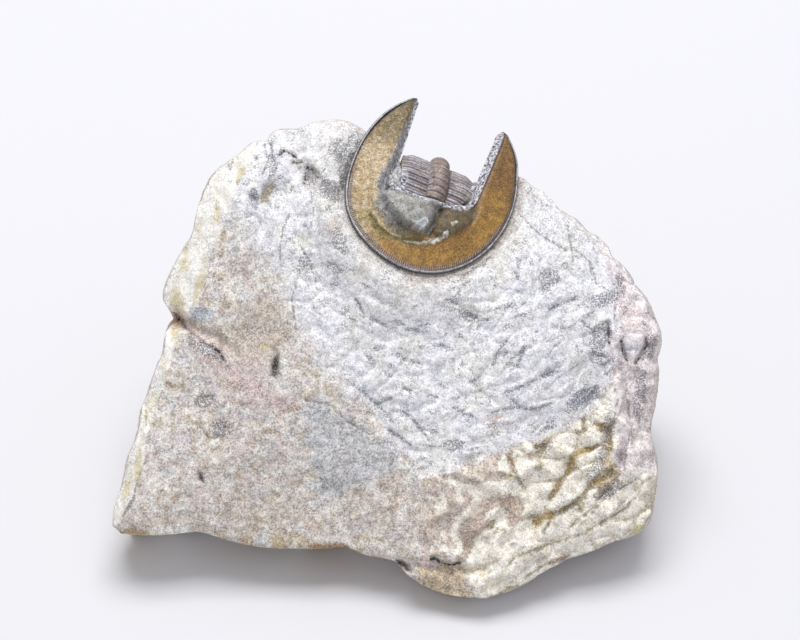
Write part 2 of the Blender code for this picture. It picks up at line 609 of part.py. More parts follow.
def make_block(collection, cutters):
    block = make_block_loft(collection)
    bed = bed_prism("bed_head", collection)
    back = body_tool("bed_body", lambda s: -0.3 - 0.9 * smooth((s - 4.0) / 5.0),
                     -BODY_THICKNESS - 9.0, 2.0, 0.0, collection)
    join_into(block, [bed, back])
    fuse = block.modifiers.new("fuse", "REMESH")
    fuse.mode = "VOXEL"
    fuse.voxel_size = GRAIN * MM
    fuse.adaptivity = 0.0
    bake(block)
    soften = block.modifiers.new("soften", "SMOOTH")
    soften.factor, soften.iterations = 0.5, 2
    bake(block)
    shape_block(block)
    thin = block.modifiers.new("thin", "DECIMATE")
    triangles = sum(len(p.vertices) - 2 for p in block.data.polygons)
    thin.ratio = BLOCK_TRIANGLES / triangles
    bake(block)
    print("block triangles", triangles, "->", sum(len(p.vertices) - 2 for p in block.data.polygons))

    # the foot it stands on is flat
    work = bmesh.new()
    work.from_mesh(block.data)
    everything = list(work.verts) + list(work.edges) + list(work.faces)
    bmesh.ops.bisect_plane(work, geom=everything, plane_co=(0, 0, 0), plane_no=(0, 0, 1),
                           clear_inner=True)
    rim = [e for e in work.edges if e.is_boundary]
    bmesh.ops.triangle_fill(work, edges=rim, use_beauty=True)
    bmesh.ops.recalc_face_normals(work, faces=work.faces)
    work.to_mesh(block.data)
    work.free()

    # the fossil's own place in the stone
    loop = head_outline(GAP + 0.05)
    rings = [np.column_stack((loop, np.full(len(loop), z))) for z in (-GAP, 22.0)]
    points, faces = loft(rings)
    head_cutter = new_object("head_cutter", fossil_to_world(points), faces, cutters)
    body_cutter = body_tool("body_cutter", 14.0, -BODY_THICKNESS - GAP, GAP + 0.05, 8.0, cutters, GAP)
    for cutter in (head_cutter, body_cutter):
        cut = block.modifiers.new(cutter.name, "BOOLEAN")
        cut.operation, cut.solver, cut.object = "DIFFERENCE", "EXACT", cutter
        cutter.hide_render = True
        cutter.display_type = "WIRE"
    bake(block)
    keep_largest(block)
    return block


def keep_largest(obj):
    """Leaves only the main body: crumbs that the cuts set free fall away."""
    work = bmesh.new()
    work.from_mesh(obj.data)
    bmesh.ops.remove_doubles(work, verts=work.verts, dist=2e-6)
    seen, groups = set(), []
    for start in work.verts:
        if start in seen:
            continue
        stack, group = [start], []
        seen.add(start)
        while stack:
            vert = stack.pop()
            group.append(vert)
            for edge in vert.link_edges:
                other = edge.other_vert(vert)
                if other not in seen:
                    seen.add(other)
                    stack.append(other)
        groups.append(group)
    groups.sort(key=len)
    print("bodies", [len(g) for g in groups])
    for group in groups[:-1]:
        bmesh.ops.delete(work, geom=group, context="VERTS")
    bmesh.ops.triangulate(work, faces=work.faces)
    work.to_mesh(obj.data)
    work.free()


def paint(obj, name, colour, rough):
    material = bpy.data.materials.new(name)
    material.use_nodes = True
    shader = material.node_tree.nodes["Principled BSDF"]
    shader.inputs["Base Color"].default_value = (*colour, 1.0)
    shader.inputs["Roughness"].default_value = rough
    material.diffuse_color = (*colour, 1.0)
    obj.data.materials.clear()
    obj.data.materials.append(material)


def stand_at_origin(objects):
    """Puts the middle of the foot of the whole fossil at the origin."""
    cloud = np.concatenate([points_of(o) for o in objects])
    low, high = cloud.min(axis=0), cloud.max(axis=0)
    shift = np.array(((low[0] + high[0]) / 2, (low[1] + high[1]) / 2, low[2]))
    print("shift mm", np.round(shift, 4), "size mm", np.round(high - low, 3))
    for obj in bpy.data.objects:
        put_points(obj, points_of(obj) - shift)


def main():
    clear_scene()
    scene = bpy.context.scene
    scene.unit_settings.system = "METRIC"
    scene.unit_settings.scale_length = 1.0
    model = bpy.data.collections.new("fossil_trilobite")
    cutters = bpy.data.collections.new("cutters")
    scene.collection.children.link(model)
    scene.collection.children.link(cutters)

    block = make_block(model, cutters)
    head = make_head(model)
    body = make_body(model)
    paint(block, "limestone", (0.62, 0.58, 0.53), 0.9)
    paint(head, "head_shell", (0.30, 0.19, 0.08), 0.45)
    paint(body, "body_shell", (0.32, 0.28, 0.27), 0.55)
    stand_at_origin([block, head, body])
    for obj in (block, head, body):
        print(obj.name, "triangles", sum(len(p.vertices) - 2 for p in obj.data.polygons))
    cutters.hide_render = True


main()
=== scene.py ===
"""Looks of the fossil trilobite: a fine block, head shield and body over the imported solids.

Everything is worked out here from the same named values as the solids: lengths in mm, in the row
frame. The stone's face is described in its own plane (u across, v up the face), the fossil in the
head's own frame (x to its right, y backward, z up).
"""

import itertools
import math
from types import SimpleNamespace

import bmesh
import bpy
import numpy as np
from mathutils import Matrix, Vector, noise


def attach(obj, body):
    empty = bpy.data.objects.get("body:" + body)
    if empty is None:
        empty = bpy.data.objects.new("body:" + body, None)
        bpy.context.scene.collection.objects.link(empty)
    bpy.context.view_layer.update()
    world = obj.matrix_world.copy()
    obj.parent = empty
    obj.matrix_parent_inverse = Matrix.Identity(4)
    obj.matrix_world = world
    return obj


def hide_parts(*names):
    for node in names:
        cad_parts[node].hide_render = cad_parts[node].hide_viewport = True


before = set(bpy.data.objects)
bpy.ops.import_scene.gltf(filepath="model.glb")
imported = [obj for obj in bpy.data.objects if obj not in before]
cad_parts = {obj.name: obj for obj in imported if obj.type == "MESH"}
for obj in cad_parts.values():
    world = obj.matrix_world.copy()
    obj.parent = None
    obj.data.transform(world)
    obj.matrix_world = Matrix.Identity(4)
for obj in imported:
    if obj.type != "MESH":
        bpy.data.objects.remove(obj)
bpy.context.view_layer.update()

MM = 0.001

# ---- driving dimensions, in millimetres and degrees ----
GAP = 0.30  # clearance between the fossil plates and the stone

# head shield, in its own frame: x to the animal's right, y backward, z up from the rim's base plane
HEAD_HALF_WIDTH = 15.0  # half the width over the rim
HEAD_FRONT = 18.2  # from the widest line to the front of the rim
ARM_END = 141.0  # angle round the rim, from the front, at which the prolongations end
ARM_INNER = 7.2  # half the opening between the prolongations
ARM_INNER_TIP = 7.7  # the same at the tips
POSTERIOR_Y = -4.8  # the back border of the head, behind the glabella
LEFT_CORNER, RIGHT_CORNER = (2.4, 9.0, 0.9), (5.0, 2.6, 1.4)  # how the border turns into the arms
CORNER_TURN = 78.0  # angle round the rim of the corner between back border and prolongation
TIP_SHORT = 1.2  # how much sooner than the rim the inner edge ends
GIRDER_X, GIRDER_Y, GIRDER_MID = 9.5, 8.5, -3.4  # the inner limit of the brim, an ellipse
RIGHT_SWELL, LEFT_SWELL = 0.028, 0.07  # how far the rim bows out of its ellipse, as shares of it
AXIS_AT_BORDER, AXIS_LEAN = 1.0, 0.30  # the slightly skewed midline of glabella and occiput
RIM_HEIGHT, BRIM_HEIGHT, GIRDER_HEIGHT, BORDER_HEIGHT = 2.0, 1.45, 3.0, 3.9
# raised parts inside the girder: middle, half widths, height over the girder's foot
DOME = (-2.9, -8.8), (5.7, 5.5), 3.35
RIGHT_CHEEK = (5.2, -6.3), (3.6, 5.0), 1.9
FRONT_LOBE = (-0.3, -12.0), (1.5, 1.7), 0.45
SIDE_FURROW = [(2.75, -4.9), (2.35, -8.2), (1.5, -11.6), (0.6, -13.2)]
CROWN_END = -0.9  # how far back that raised middle reaches along the prolongations
RIM_WIDTH, RIM_LIP = 0.75, 0.3  # the raised cord, and the outer part of it that turns down
GENAL_ROLL = 1.5  # the bevelled band along the inner side of each prolongation
CROWN_FOOT, ROLL_FOOT = 2.2, 1.3  # lowest heights of the raised middle, and of that band

# body
BODY_HALF_WIDTH = 6.85
BODY_FRONT_LEFT, BODY_FRONT_RIGHT = 5.3, 2.8  # narrower where the head's back border rounds it
AXIS_HALF_WIDTH, AXIS_HEIGHT = 1.85, 1.6
AXIS_SHARE = 0.29  # share of the stations across each side that is the axis
BODY_THICKNESS = 1.9
BODY_START_Y, BODY_START_Z = -4.45, 3.0
BODY_STRAIGHT = 2.0  # before it starts to arch
BODY_ARCH_RADIUS, BODY_ARCH_ANGLE = 8.0, 103.0
BODY_TAIL_RUN = 9.0  # straight run down the back of the block
SEGMENT = 1.2  # length of one thoracic segment
RIB_HEIGHT = 0.30

# how the fossil sits on the block: heading, pitch and roll of the head's base plane
FOSSIL_AT = (5.87, 24.12, 0.5)  # its ellipse centre, in the face frame below
X_T = (0.926, -0.372, -0.057)
Y_T = (0.317, 0.852, -0.416)

# block
FACE_TILT = 45.0  # the prepared face looks up and forward at this angle
FACE_MID_Z = 34.0  # height of the middle of the face above the table
FACE_CROWN = 8.0  # how far the face bulges
CORE_V = -7.0  # the outline is measured round this point of the face
BASE_SHRINK, BASE_BACK = 0.9, 8.0  # the foot of the block against its outline
# outline of the block seen square to the face: across, up the face, and depth of the edge
OUTLINE = [
    (-51.7, -36.4, 3.0), (-49.2, -28.0, 2.0), (-45.9, -13.5, 1.0), (-43.6, -4.5, 0.5),
    (-40.2, 0.2, 0.0), (-42.5, 3.6, -0.5), (-42.3, 5.8, -0.5), (-39.5, 12.0, -0.5),
    (-36.9, 18.9, -1.0), (-33.3, 26.6, -2.5), (-24.8, 33.3, -4.0), (-18.5, 35.0, -5.0),
    (-12.6, 35.9, -5.0), (-9.5, 35.6, -5.0), (-6.8, 34.4, -5.0), (-2.5, 30.2, -5.5),
    (0.9, 27.6, -5.5), (7.2, 26.2, -5.5), (14.4, 24.0, -5.5), (18.0, 24.8, -5.5),
    (21.2, 26.2, -5.0), (23.4, 24.6, -4.6), (28.8, 20.4, -4.0), (36.0, 14.6, -3.0),
    (41.5, 8.0, -2.0), (43.9, 4.9, -1.5), (47.1, -3.0, 0.0),
    (46.2, -11.0, -0.5), (45.4, -18.0, 0.0), (46.3, -28.6, 0.0), (45.6, -33.5, 0.3),
    (44.3, -38.2, 0.6), (38.5, -39.6, 1.0), (34.4, -41.6, 1.6), (29.9, -43.0, 2.4),
    (26.4, -44.9, 3.2), (22.6, -47.4, 4.2), (15.3, -50.0, 5.0),
    (7.2, -49.0, 5.0), (1.4, -45.9, 4.5), (-0.7, -43.2, 3.5), (-9.9, -40.7, 3.0),
    (-18.0, -41.0, 3.0), (-28.8, -40.1, 3.0), (-36.0, -37.8, 3.0), (-44.0, -38.6, 3.0),
    (-51.1, -38.2, 3.0),
]
# broken bevel round the face: direction in degrees, width, drop
BEVEL = [
    (-180, 4.5, 3.8), (-150, 4.5, 3.8), (-128, 1.5, 2.6), (-110, 1.5, 2.6), (-75, 3.5, 2.2),
    (-50, 7.0, 4.0), (-25, 7.5, 5.0), (0, 8.5, 6.5), (20, 8.0, 6.5), (50, 8.0, 7.0), (80, 9.0, 8.0),
    (105, 9.0, 7.5), (130, 7.0, 6.0), (150, 5.0, 4.5), (165, 4.5, 4.0), (180, 4.5, 3.8),
]
BED_LEVEL = 1.15  # how far the stone stands up round the head shield, over its base plane
RING = 180  # points round each ring of the block
SPARE = 0.9  # stone left outside the outline for the broken surface to be worked into
VIEW = 500.0  # the outline is as seen from this far off

# ---- frames ----
TILT = math.radians(FACE_TILT)
U = np.array((1.0, 0.0, 0.0))
V = np.array((0.0, math.cos(TILT), math.sin(TILT)))
W = np.array((0.0, -math.sin(TILT), math.cos(TILT)))
MID = np.array((0.0, 0.0, FACE_MID_Z))


def face_to_world(p):
    p = np.asarray(p, float)
    return MID + p[..., 0:1] * U + p[..., 1:2] * V + p[..., 2:3] * W


def world_to_face(p):
    return (np.asarray(p, float) - MID) @ np.array((U, V, W)).T


def unit(v):
    v = np.asarray(v, float)
    return v / np.linalg.norm(v)


XL = unit(X_T)
YL = np.asarray(Y_T, float)
YL = unit(YL - XL * (YL @ XL))
ZL = np.cross(XL, YL)
FOSSIL_AXES = np.array([a[0] * U + a[1] * V + a[2] * W for a in (XL, YL, ZL)])
FOSSIL_MID = face_to_world(FOSSIL_AT)


def fossil_to_world(p):
    return FOSSIL_MID + np.asarray(p, float) @ FOSSIL_AXES


def world_to_fossil(p):
    return (np.asarray(p, float) - FOSSIL_MID) @ FOSSIL_AXES.T


def smooth(t):
    """0 up to t = 0, 1 from t = 1, and an even ramp between."""
    t = np.clip(t, 0.0, 1.0)
    return t * t * (3.0 - 2.0 * t)


def bell(x, width):
    """1 at x = 0, falling off on both sides over about the width."""
    return np.exp(-((x / width) ** 2))


# ---- mesh helpers ----
def new_object(name, points_mm, faces, collection):
    mesh = bpy.data.meshes.new(name)
    mesh.from_pydata([tuple(p) for p in np.asarray(points_mm) * MM], [], [list(f) for f in faces])
    mesh.validate()
    work = bmesh.new()
    work.from_mesh(mesh)
    bmesh.ops.recalc_face_normals(work, faces=work.faces)
    if work.calc_volume(signed=True) < 0:
        bmesh.ops.reverse_faces(work, faces=work.faces)
    work.to_mesh(mesh)
    work.free()
    obj = bpy.data.objects.new(name, mesh)
    collection.objects.link(obj)
    return obj


def loft(rings):
    """A closed body through rings of equally many points, with flat ends."""
    count = len(rings[0])
    faces = []
    for i in range(len(rings) - 1):
        for j in range(count):
            k = (j + 1) % count
            faces.append((i * count + j, i * count + k, (i + 1) * count + k, (i + 1) * count + j))
    last = (len(rings) - 1) * count
    faces.append(tuple(reversed(range(count))))
    faces.append(tuple(last + j for j in range(count)))
    return np.concatenate(rings), faces


def lofted(name, rings, collection):
    """A new object through rings given in the fossil's frame."""
    points, faces = loft(rings)
    return new_object(name, fossil_to_world(points), faces, collection)


def prism(name, plan, mid, levels, collection):
    """A column over an outline in plan, drawn towards a point by its share at each level."""
    return lofted(name, [np.column_stack((mid + (plan - mid) * grow, np.full(len(plan), z)))
                         for z, grow in levels], collection)


def points_of(obj):
    flat = np.empty(len(obj.data.vertices) * 3, np.float64)
    obj.data.vertices.foreach_get("co", flat)
    return flat.reshape(-1, 3) / MM


def normals_of(obj):
    flat = np.empty(len(obj.data.vertices) * 3, np.float32)
    obj.data.vertices.foreach_get("normal", flat)
    return flat.reshape(-1, 3).astype(float)


def put_points(obj, points_mm):
    obj.data.vertices.foreach_set("co", (np.asarray(points_mm) * MM).ravel())
    obj.data.update()


def bake(obj):
    """Replaces an object's mesh with what its modifiers make of it."""
    bpy.context.view_layer.update()
    graph = bpy.context.evaluated_depsgraph_get()
    mesh = bpy.data.meshes.new_from_object(obj.evaluated_get(graph))
    obj.modifiers.clear()
    obj.data = mesh


def perlin(points, size, seed=0.0):
    shift = Vector((seed * 17.3, seed * 5.1, seed * 9.7))
    return np.array([noise.noise(Vector(p) / size + shift) for p in points])


# ---- the head shield ----
def rim_size(turn):
    """The rim's size by degrees from the front: it bows out at the right tip and the left front."""
    return 1.0 + RIGHT_SWELL * smooth((turn - 108) / 20) + LEFT_SWELL * bell(turn + 55, 26)


def rim_point(angle):
    ellipse = np.array((HEAD_HALF_WIDTH * math.sin(angle), -HEAD_FRONT * math.cos(angle)))
    return rim_size(math.degrees(angle)) * ellipse


def rim_share(local):
    """Distance from the middle of the head, in plan: 1 on the rim."""
    x, y = local[:, 0] / HEAD_HALF_WIDTH, local[:, 1] / HEAD_FRONT
    return np.hypot(x, y) / rim_size(np.degrees(np.arctan2(x, -y)))


def inner_point(angle):
    """A point of the inner edge (back border, then a prolongation's inner side) at a rim angle."""
    side = 1.0 if angle >= 0 else -1.0
    turn = math.degrees(abs(angle))
    climb, round_off, spread = RIGHT_CORNER if side > 0 else LEFT_CORNER
    if turn < CORNER_TURN:
        x = ARM_INNER * math.sin(math.radians(90 * turn / CORNER_TURN)) ** spread
        y = POSTERIOR_Y + climb * (turn / CORNER_TURN) ** round_off
    else:
        t = (turn - CORNER_TURN) / (ARM_END - CORNER_TURN)
        tip = rim_point(math.radians(ARM_END))
        x = ARM_INNER + (ARM_INNER_TIP - ARM_INNER) * t**1.6
        y = (POSTERIOR_Y + climb) + (tip[1] - TIP_SHORT - POSTERIOR_Y - climb) * t
    return np.array((side * x, y))


def mound(x, y, form):
    """A steep-sided rise with a rounded top."""
    (mid_x, mid_y), (half_x, half_y), high = form
    inside = 1 - ((x - mid_x) / half_x) ** 2 - ((y - mid_y) / half_y) ** 2
    return high * np.sqrt(np.clip(inside, 0, 1))


def segment_distance(u, v, line):
    """Distance in a plane, mm, from a polyline."""
    best = np.full(len(u), 1e9)
    for (u0, v0), (u1, v1) in zip(line[:-1], line[1:]):
        du, dv = u1 - u0, v1 - v0
        t = np.clip(((u - u0) * du + (v - v0) * dv) / (du * du + dv * dv), 0, 1)
        best = np.minimum(best, np.hypot(u - u0 - t * du, v - v0 - t * dv))
    return best


def girder(x, y):
    """Distance from the middle of the head, in plan: 1 on the girder, where the brim ends."""
    return np.sqrt((x / GIRDER_X) ** 2 + ((np.minimum(y, GIRDER_MID) - GIRDER_MID) / GIRDER_Y) ** 2)


def crown_share(x, y):
    """1 on the raised middle inside the girder, 0 on the brim and the prolongations."""
    return smooth((1.0 - girder(x, y)) / 0.10) * smooth((CROWN_END - y) / 2.4)


def arm_share(y):
    """0 on the head itself, 1 along the prolongations."""
    return smooth((y - POSTERIOR_Y - 0.6) / 3.0)


def midline(x, y):
    """Sideways distance from the skewed middle line of glabella and occiput."""
    return x - AXIS_AT_BORDER - AXIS_LEAN * (y - POSTERIOR_Y)


def head_height(x, y, from_rim, from_inner):
    """Height of the upper surface, by place and by distances from the rim and the inner edge."""
    rim = RIM_HEIGHT - 0.5 * smooth((from_rim - RIM_LIP) / (RIM_WIDTH - RIM_LIP))
    rim = np.where(from_rim < RIM_LIP, RIM_HEIGHT - 0.35 * (1 - from_rim / RIM_LIP), rim)
    # the brim climbs gently from just inside the rim to the girder
    outward = np.clip((girder(x, y) - 1.0) * 8.0, 0.0, 8.0)
    climb = np.clip(1.0 - outward / 6.2, 0.0, 1.0)
    brim = BRIM_HEIGHT + (GIRDER_HEIGHT - BRIM_HEIGHT) * climb**1.7
    z = np.where(from_rim < RIM_WIDTH, np.maximum(rim, BRIM_HEIGHT), brim)
    # inside the girder: one broad dome of glabella and left cheek, a furrow, the lower right cheek
    m = midline(x, y)
    crown = GIRDER_HEIGHT - 0.45 + np.maximum(mound(x, y, DOME), mound(x, y, RIGHT_CHEEK))
    crown = crown + mound(x, y, FRONT_LOBE)
    crown = crown - 0.65 * bell(segment_distance(x, y, SIDE_FURROW), 0.42)
    back = smooth((from_inner - 0.25) / 1.3)
    crown = crown * back + (BORDER_HEIGHT + 0.7 * bell(m, 1.9)) * (1 - back)
    crown = crown - 0.4 * bell(from_inner - 1.25, 0.3) * (np.abs(m) > 1.6)
    z = z + (np.maximum(crown, CROWN_FOOT) - z) * crown_share(x, y)
    # the genal roll: a bevel down to the inner edge of each prolongation
    arm = arm_share(y)
    return z * (1 - arm) + arm * (ROLL_FOOT + (z - ROLL_FOOT) * smooth(from_inner / GENAL_ROLL))


def girder_share(outer, inner):
    """Where, along a line in plan from the rim to the inner edge, the brim ends."""
    f = np.linspace(0, 1, 241)
    plan = outer + (inner - outer) * f[:, None]
    e = girder(plan[:, 0], plan[:, 1])
    span = np.linalg.norm(outer - inner)
    # along the prolongations the girder gives way to the line where the genal roll starts
    bevel = 1 - GENAL_ROLL / span
    ends = min(f[e < 1.0][0] if (e < 1.0).any() else 1.0, bevel)
    along = smooth((inner[1] - POSTERIOR_Y - 1.5) / 3.0)
    return ends + (bevel - ends) * along, span


# ---- the body ----
def body_frame(s):
    """Middle of the body at a distance s along it: y and z, and the direction it heads in."""
    y, z = BODY_START_Y, BODY_START_Z
    if s <= BODY_STRAIGHT:
        return y + s, z, 0.0
    arch = BODY_ARCH_RADIUS * math.radians(BODY_ARCH_ANGLE)
    turn = min((s - BODY_STRAIGHT) / BODY_ARCH_RADIUS, math.radians(BODY_ARCH_ANGLE))
    y += BODY_STRAIGHT + BODY_ARCH_RADIUS * math.sin(turn)
    z -= BODY_ARCH_RADIUS * (1 - math.cos(turn))
    more = max(0.0, s - BODY_STRAIGHT - arch)
    return y + more * math.cos(turn), z - more * math.sin(turn), turn


BODY_LENGTH = BODY_STRAIGHT + BODY_ARCH_RADIUS * math.radians(BODY_ARCH_ANGLE) + BODY_TAIL_RUN


def body_half_width(s, side=0):
    """Half width of the body at s; side -1 or 1 gives the narrower front of that side."""
    t = s / BODY_LENGTH
    taper = 1.0 - 0.42 * smooth((t - 0.45) / 0.5)
    half = BODY_HALF_WIDTH * taper * math.sqrt(max(0.02, 1 - max(0.0, (t - 0.86) / 0.14) ** 2.2))
    if side > 0:
        half -= (BODY_HALF_WIDTH - BODY_FRONT_RIGHT) * math.exp(-max(s, 0.0) / 1.3)
    if side < 0:
        half -= (BODY_HALF_WIDTH - BODY_FRONT_LEFT) * max(0.0, 1 - max(s, 0.0) / 7.0) ** 1.3
    return half


def axis_at(s):
    """Sideways place of the axial ridge, which lines up with the skewed back of the glabella."""
    return AXIS_AT_BORDER * (1 - smooth(s / 9.0))


def body_ring(s, across, bulge):
    """One section: the domed axis, flat ribs with down-turned ends, and the underside."""
    y, z, turn = body_frame(s)
    left, right, mid = body_half_width(s, -1), body_half_width(s, 1), axis_at(s)
    axis = AXIS_HALF_WIDTH * (body_half_width(s) / BODY_HALF_WIDTH) ** 0.8
    axis = min(axis, 0.92 * (right - mid))
    f, inner = across, AXIS_SHARE
    beyond = (np.abs(f) - inner) / (1 - inner)
    x = np.where(f > inner, mid + axis + (right - mid - axis) * beyond, mid + f / inner * axis)
    x = np.where(f < -inner, mid - axis - (left + mid - axis) * beyond, x)
    size = (body_half_width(s) / BODY_HALF_WIDTH) ** 0.5
    dome = AXIS_HEIGHT * size * np.sqrt(np.clip(1 - (f / inner) ** 2, 0, 1))
    droop = (0.25 + 0.9 * smooth((s - 8.0) / 6.0)) * smooth((np.abs(f) - 0.72) / 0.28)
    lift = dome - droop + bulge * (1 - 0.6 * smooth((np.abs(f) - 0.8) / 0.2))
    bottom = -BODY_THICKNESS
    xs = np.concatenate((x, (right, 0.0, -left)))
    ns = np.concatenate((lift, (bottom, bottom, bottom)))
    return np.column_stack((xs, y + ns * math.sin(turn), z + ns * math.cos(turn)))


def body_tool(name, top, bottom, grow, flare, collection, past=0.6):
    """A bar that follows the body between two distances from its surface: a bed, or a clearing."""
    rings = []
    for s in np.linspace(-past, BODY_LENGTH + past, 46):
        y, z, turn = body_frame(max(s, 0.0))
        y += min(s, 0.0)
        if s > BODY_LENGTH:
            y, z, turn = body_frame(s)
        at = min(max(s, 0.0), BODY_LENGTH * 0.93)
        left, right = (max(body_half_width(at, side), 2.0) + grow for side in (-1, 1))
        high = top(at) if callable(top) else top
        step = bottom + 1.0
        ns = np.array((high, high, step, bottom, bottom, step))
        xs = np.array((-left - flare, right + flare, right, right, -left, -left))
        rings.append(np.column_stack((xs, y + ns * math.sin(turn), z + ns * math.cos(turn))))
    return lofted(name, rings, collection)


# ---- the block ----
def outline_rings():
    table = np.array(OUTLINE)
    angle = np.arctan2(table[:, 1] - CORE_V, table[:, 0])
    order = np.argsort(angle)
    angle, table = angle[order], table[order]
    radius = np.hypot(table[:, 0], table[:, 1] - CORE_V)
    angle = np.concatenate((angle - 2 * math.pi, angle, angle + 2 * math.pi))
    radius = np.tile(radius, 3)
    depth = np.tile(table[:, 2], 3)
    theta = np.linspace(-math.pi, math.pi, RING, endpoint=False)
    return theta, np.interp(theta, angle, radius), np.interp(theta, angle, depth)


def edge_bevel(theta):
    """Width of the broken bevel round the face, and how much it drops, by direction."""
    stops, width, drop = np.array(BEVEL).T
    deg = np.degrees(theta)
    return np.interp(deg, stops, width), np.interp(deg, stops, drop)


def make_block_loft(collection):
    theta, radius, depth = outline_rings()
    width, drop = edge_bevel(theta)
    radius = radius + SPARE
    ray = np.column_stack((np.cos(theta), np.sin(theta)))

    def ring(r, w):
        return face_to_world(np.column_stack((ray[:, 0] * r, CORE_V + ray[:, 1] * r, w)))

    rings = []
    for share in (0.02, 0.3, 0.6, 0.85, 1.0):
        crown = FACE_CROWN - (FACE_CROWN - (depth + drop)) * share**2.4
        rings.append(ring((radius - width) * share, crown))
    rings.append(ring(radius - 0.3 * width, depth + 0.55 * drop))
    edge = ring(radius, depth)
    rings.append(edge)
    foot = edge.copy()
    foot[:, 0] *= BASE_SHRINK
    foot[:, 1] = foot[:, 1] * BASE_SHRINK + BASE_BACK
    foot[:, 2] = -3.0
    # behind, the wall swells outward; in front, where the block overhangs, it draws in
    way = np.column_stack((ray[:, 0], ray[:, 1], np.zeros(RING)))
    behind = smooth((ray[:, 1] + 0.55) / 0.9)[:, None]
    for share, bulge in ((0.1, 0.2), (0.35, 1.8), (0.65, 2.2), (1.0, 0.0)):
        level = edge * (1 - share) + foot * share
        rings.append(level + way * (bulge * behind - 0.8 * (share < 1) * (1 - behind)))
    points, faces = loft(rings)
    return new_object("matrix", points, faces, collection)


def bed_prism(name, collection):
    """Stone under the head, up to its base plane and no further back than the crest."""
    angles = np.linspace(-math.radians(112), math.radians(112), 40)
    plan = np.array([rim_point(a) * 1.04 for a in angles])
    return prism(name, plan, np.zeros(2), ((0.25, 1.0), (-2.5, 1.0), (-9.0, 0.8)), collection)


def join_into(target, others):
    work = bmesh.new()
    for obj in (target, *others):
        work.from_mesh(obj.data)
    work.to_mesh(target.data)
    work.free()
    for obj in others:
        bpy.data.objects.remove(obj, do_unlink=True)


THICK_BED, THIN_BED = 5.3, 1.9
BED_NEAR, BED_FADE = 1.12, 0.45  # how far round the head, as shares of its rim, the bed stays even
STRIP_LOW, STRIP_HIGH = -22, 4  # the strip of stone under the body, over the head's base plane
NOTCH_CRACK = [(-44.0, 1.0), (-37.5, -1.0), (-33.0, -3.0), (-29.5, -5.5)]
CREVICE = [(-17.3, 27.2), (-16.2, 25.0), (-14.0, 23.2), (-11.4, 21.4)]
PIT_AT, PIT_HALF = (-21.8, 23.0), (1.8, 1.3)
LOBE_CRACK = [(-0.5, -43.0), (5.4, -43.8), (10.8, -44.6), (15.0, -44.2)]
# where the preparator's tool worked the face down, and the fresh limestone shows
WORKED = [(-12.6, -9.0), (-0.9, -21.6), (3.6, -27.0), (8.1, -27.0), (18.0, -22.5), (28.8, -19.8),
          (36.0, -14.4), (38.7, -7.2)]


def below_worked(u, v):
    """How far, mm, a point lies under the lower limit of the worked part of the face."""
    line = np.array(WORKED)
    limit = np.interp(u, line[:, 0], line[:, 1])
    limit = np.where(u < WORKED[0][0], WORKED[0][1] + (WORKED[0][0] - u) * 1.6, limit)
    return limit - v


def against_outline(points):
    """How far points are from the core of the face, which way, and how far the outline is there."""
    theta, radius, _ = outline_rings()
    u, v, w = world_to_face(points).T
    far, turn = np.hypot(u, v - CORE_V), np.arctan2(v - CORE_V, u)
    return far, turn, np.interp(turn, theta, radius, period=2 * math.pi) * (1 - w / VIEW)


def draw_in(points, far, over):
    """Draws points that are far from the core of the face in towards it, by so many mm."""
    u, v, w = world_to_face(points).T
    scale = 1 - over / np.maximum(far, 1.0)
    return face_to_world(np.column_stack((u * scale, CORE_V + (v - CORE_V) * scale, w)))


def under_body(local, beside, start):
    """Whether points are in the strip of stone that the body runs over."""
    x, y, z = local.T
    high_enough, low_enough = z > STRIP_LOW, z < STRIP_HIGH
    return (np.abs(x) < BODY_HALF_WIDTH + beside) & (y > start) & high_enough & low_enough


def steps(height, thickness):
    """Place within a bed of that thickness, from 0 to 1."""
    return height / thickness - np.floor(height / thickness)


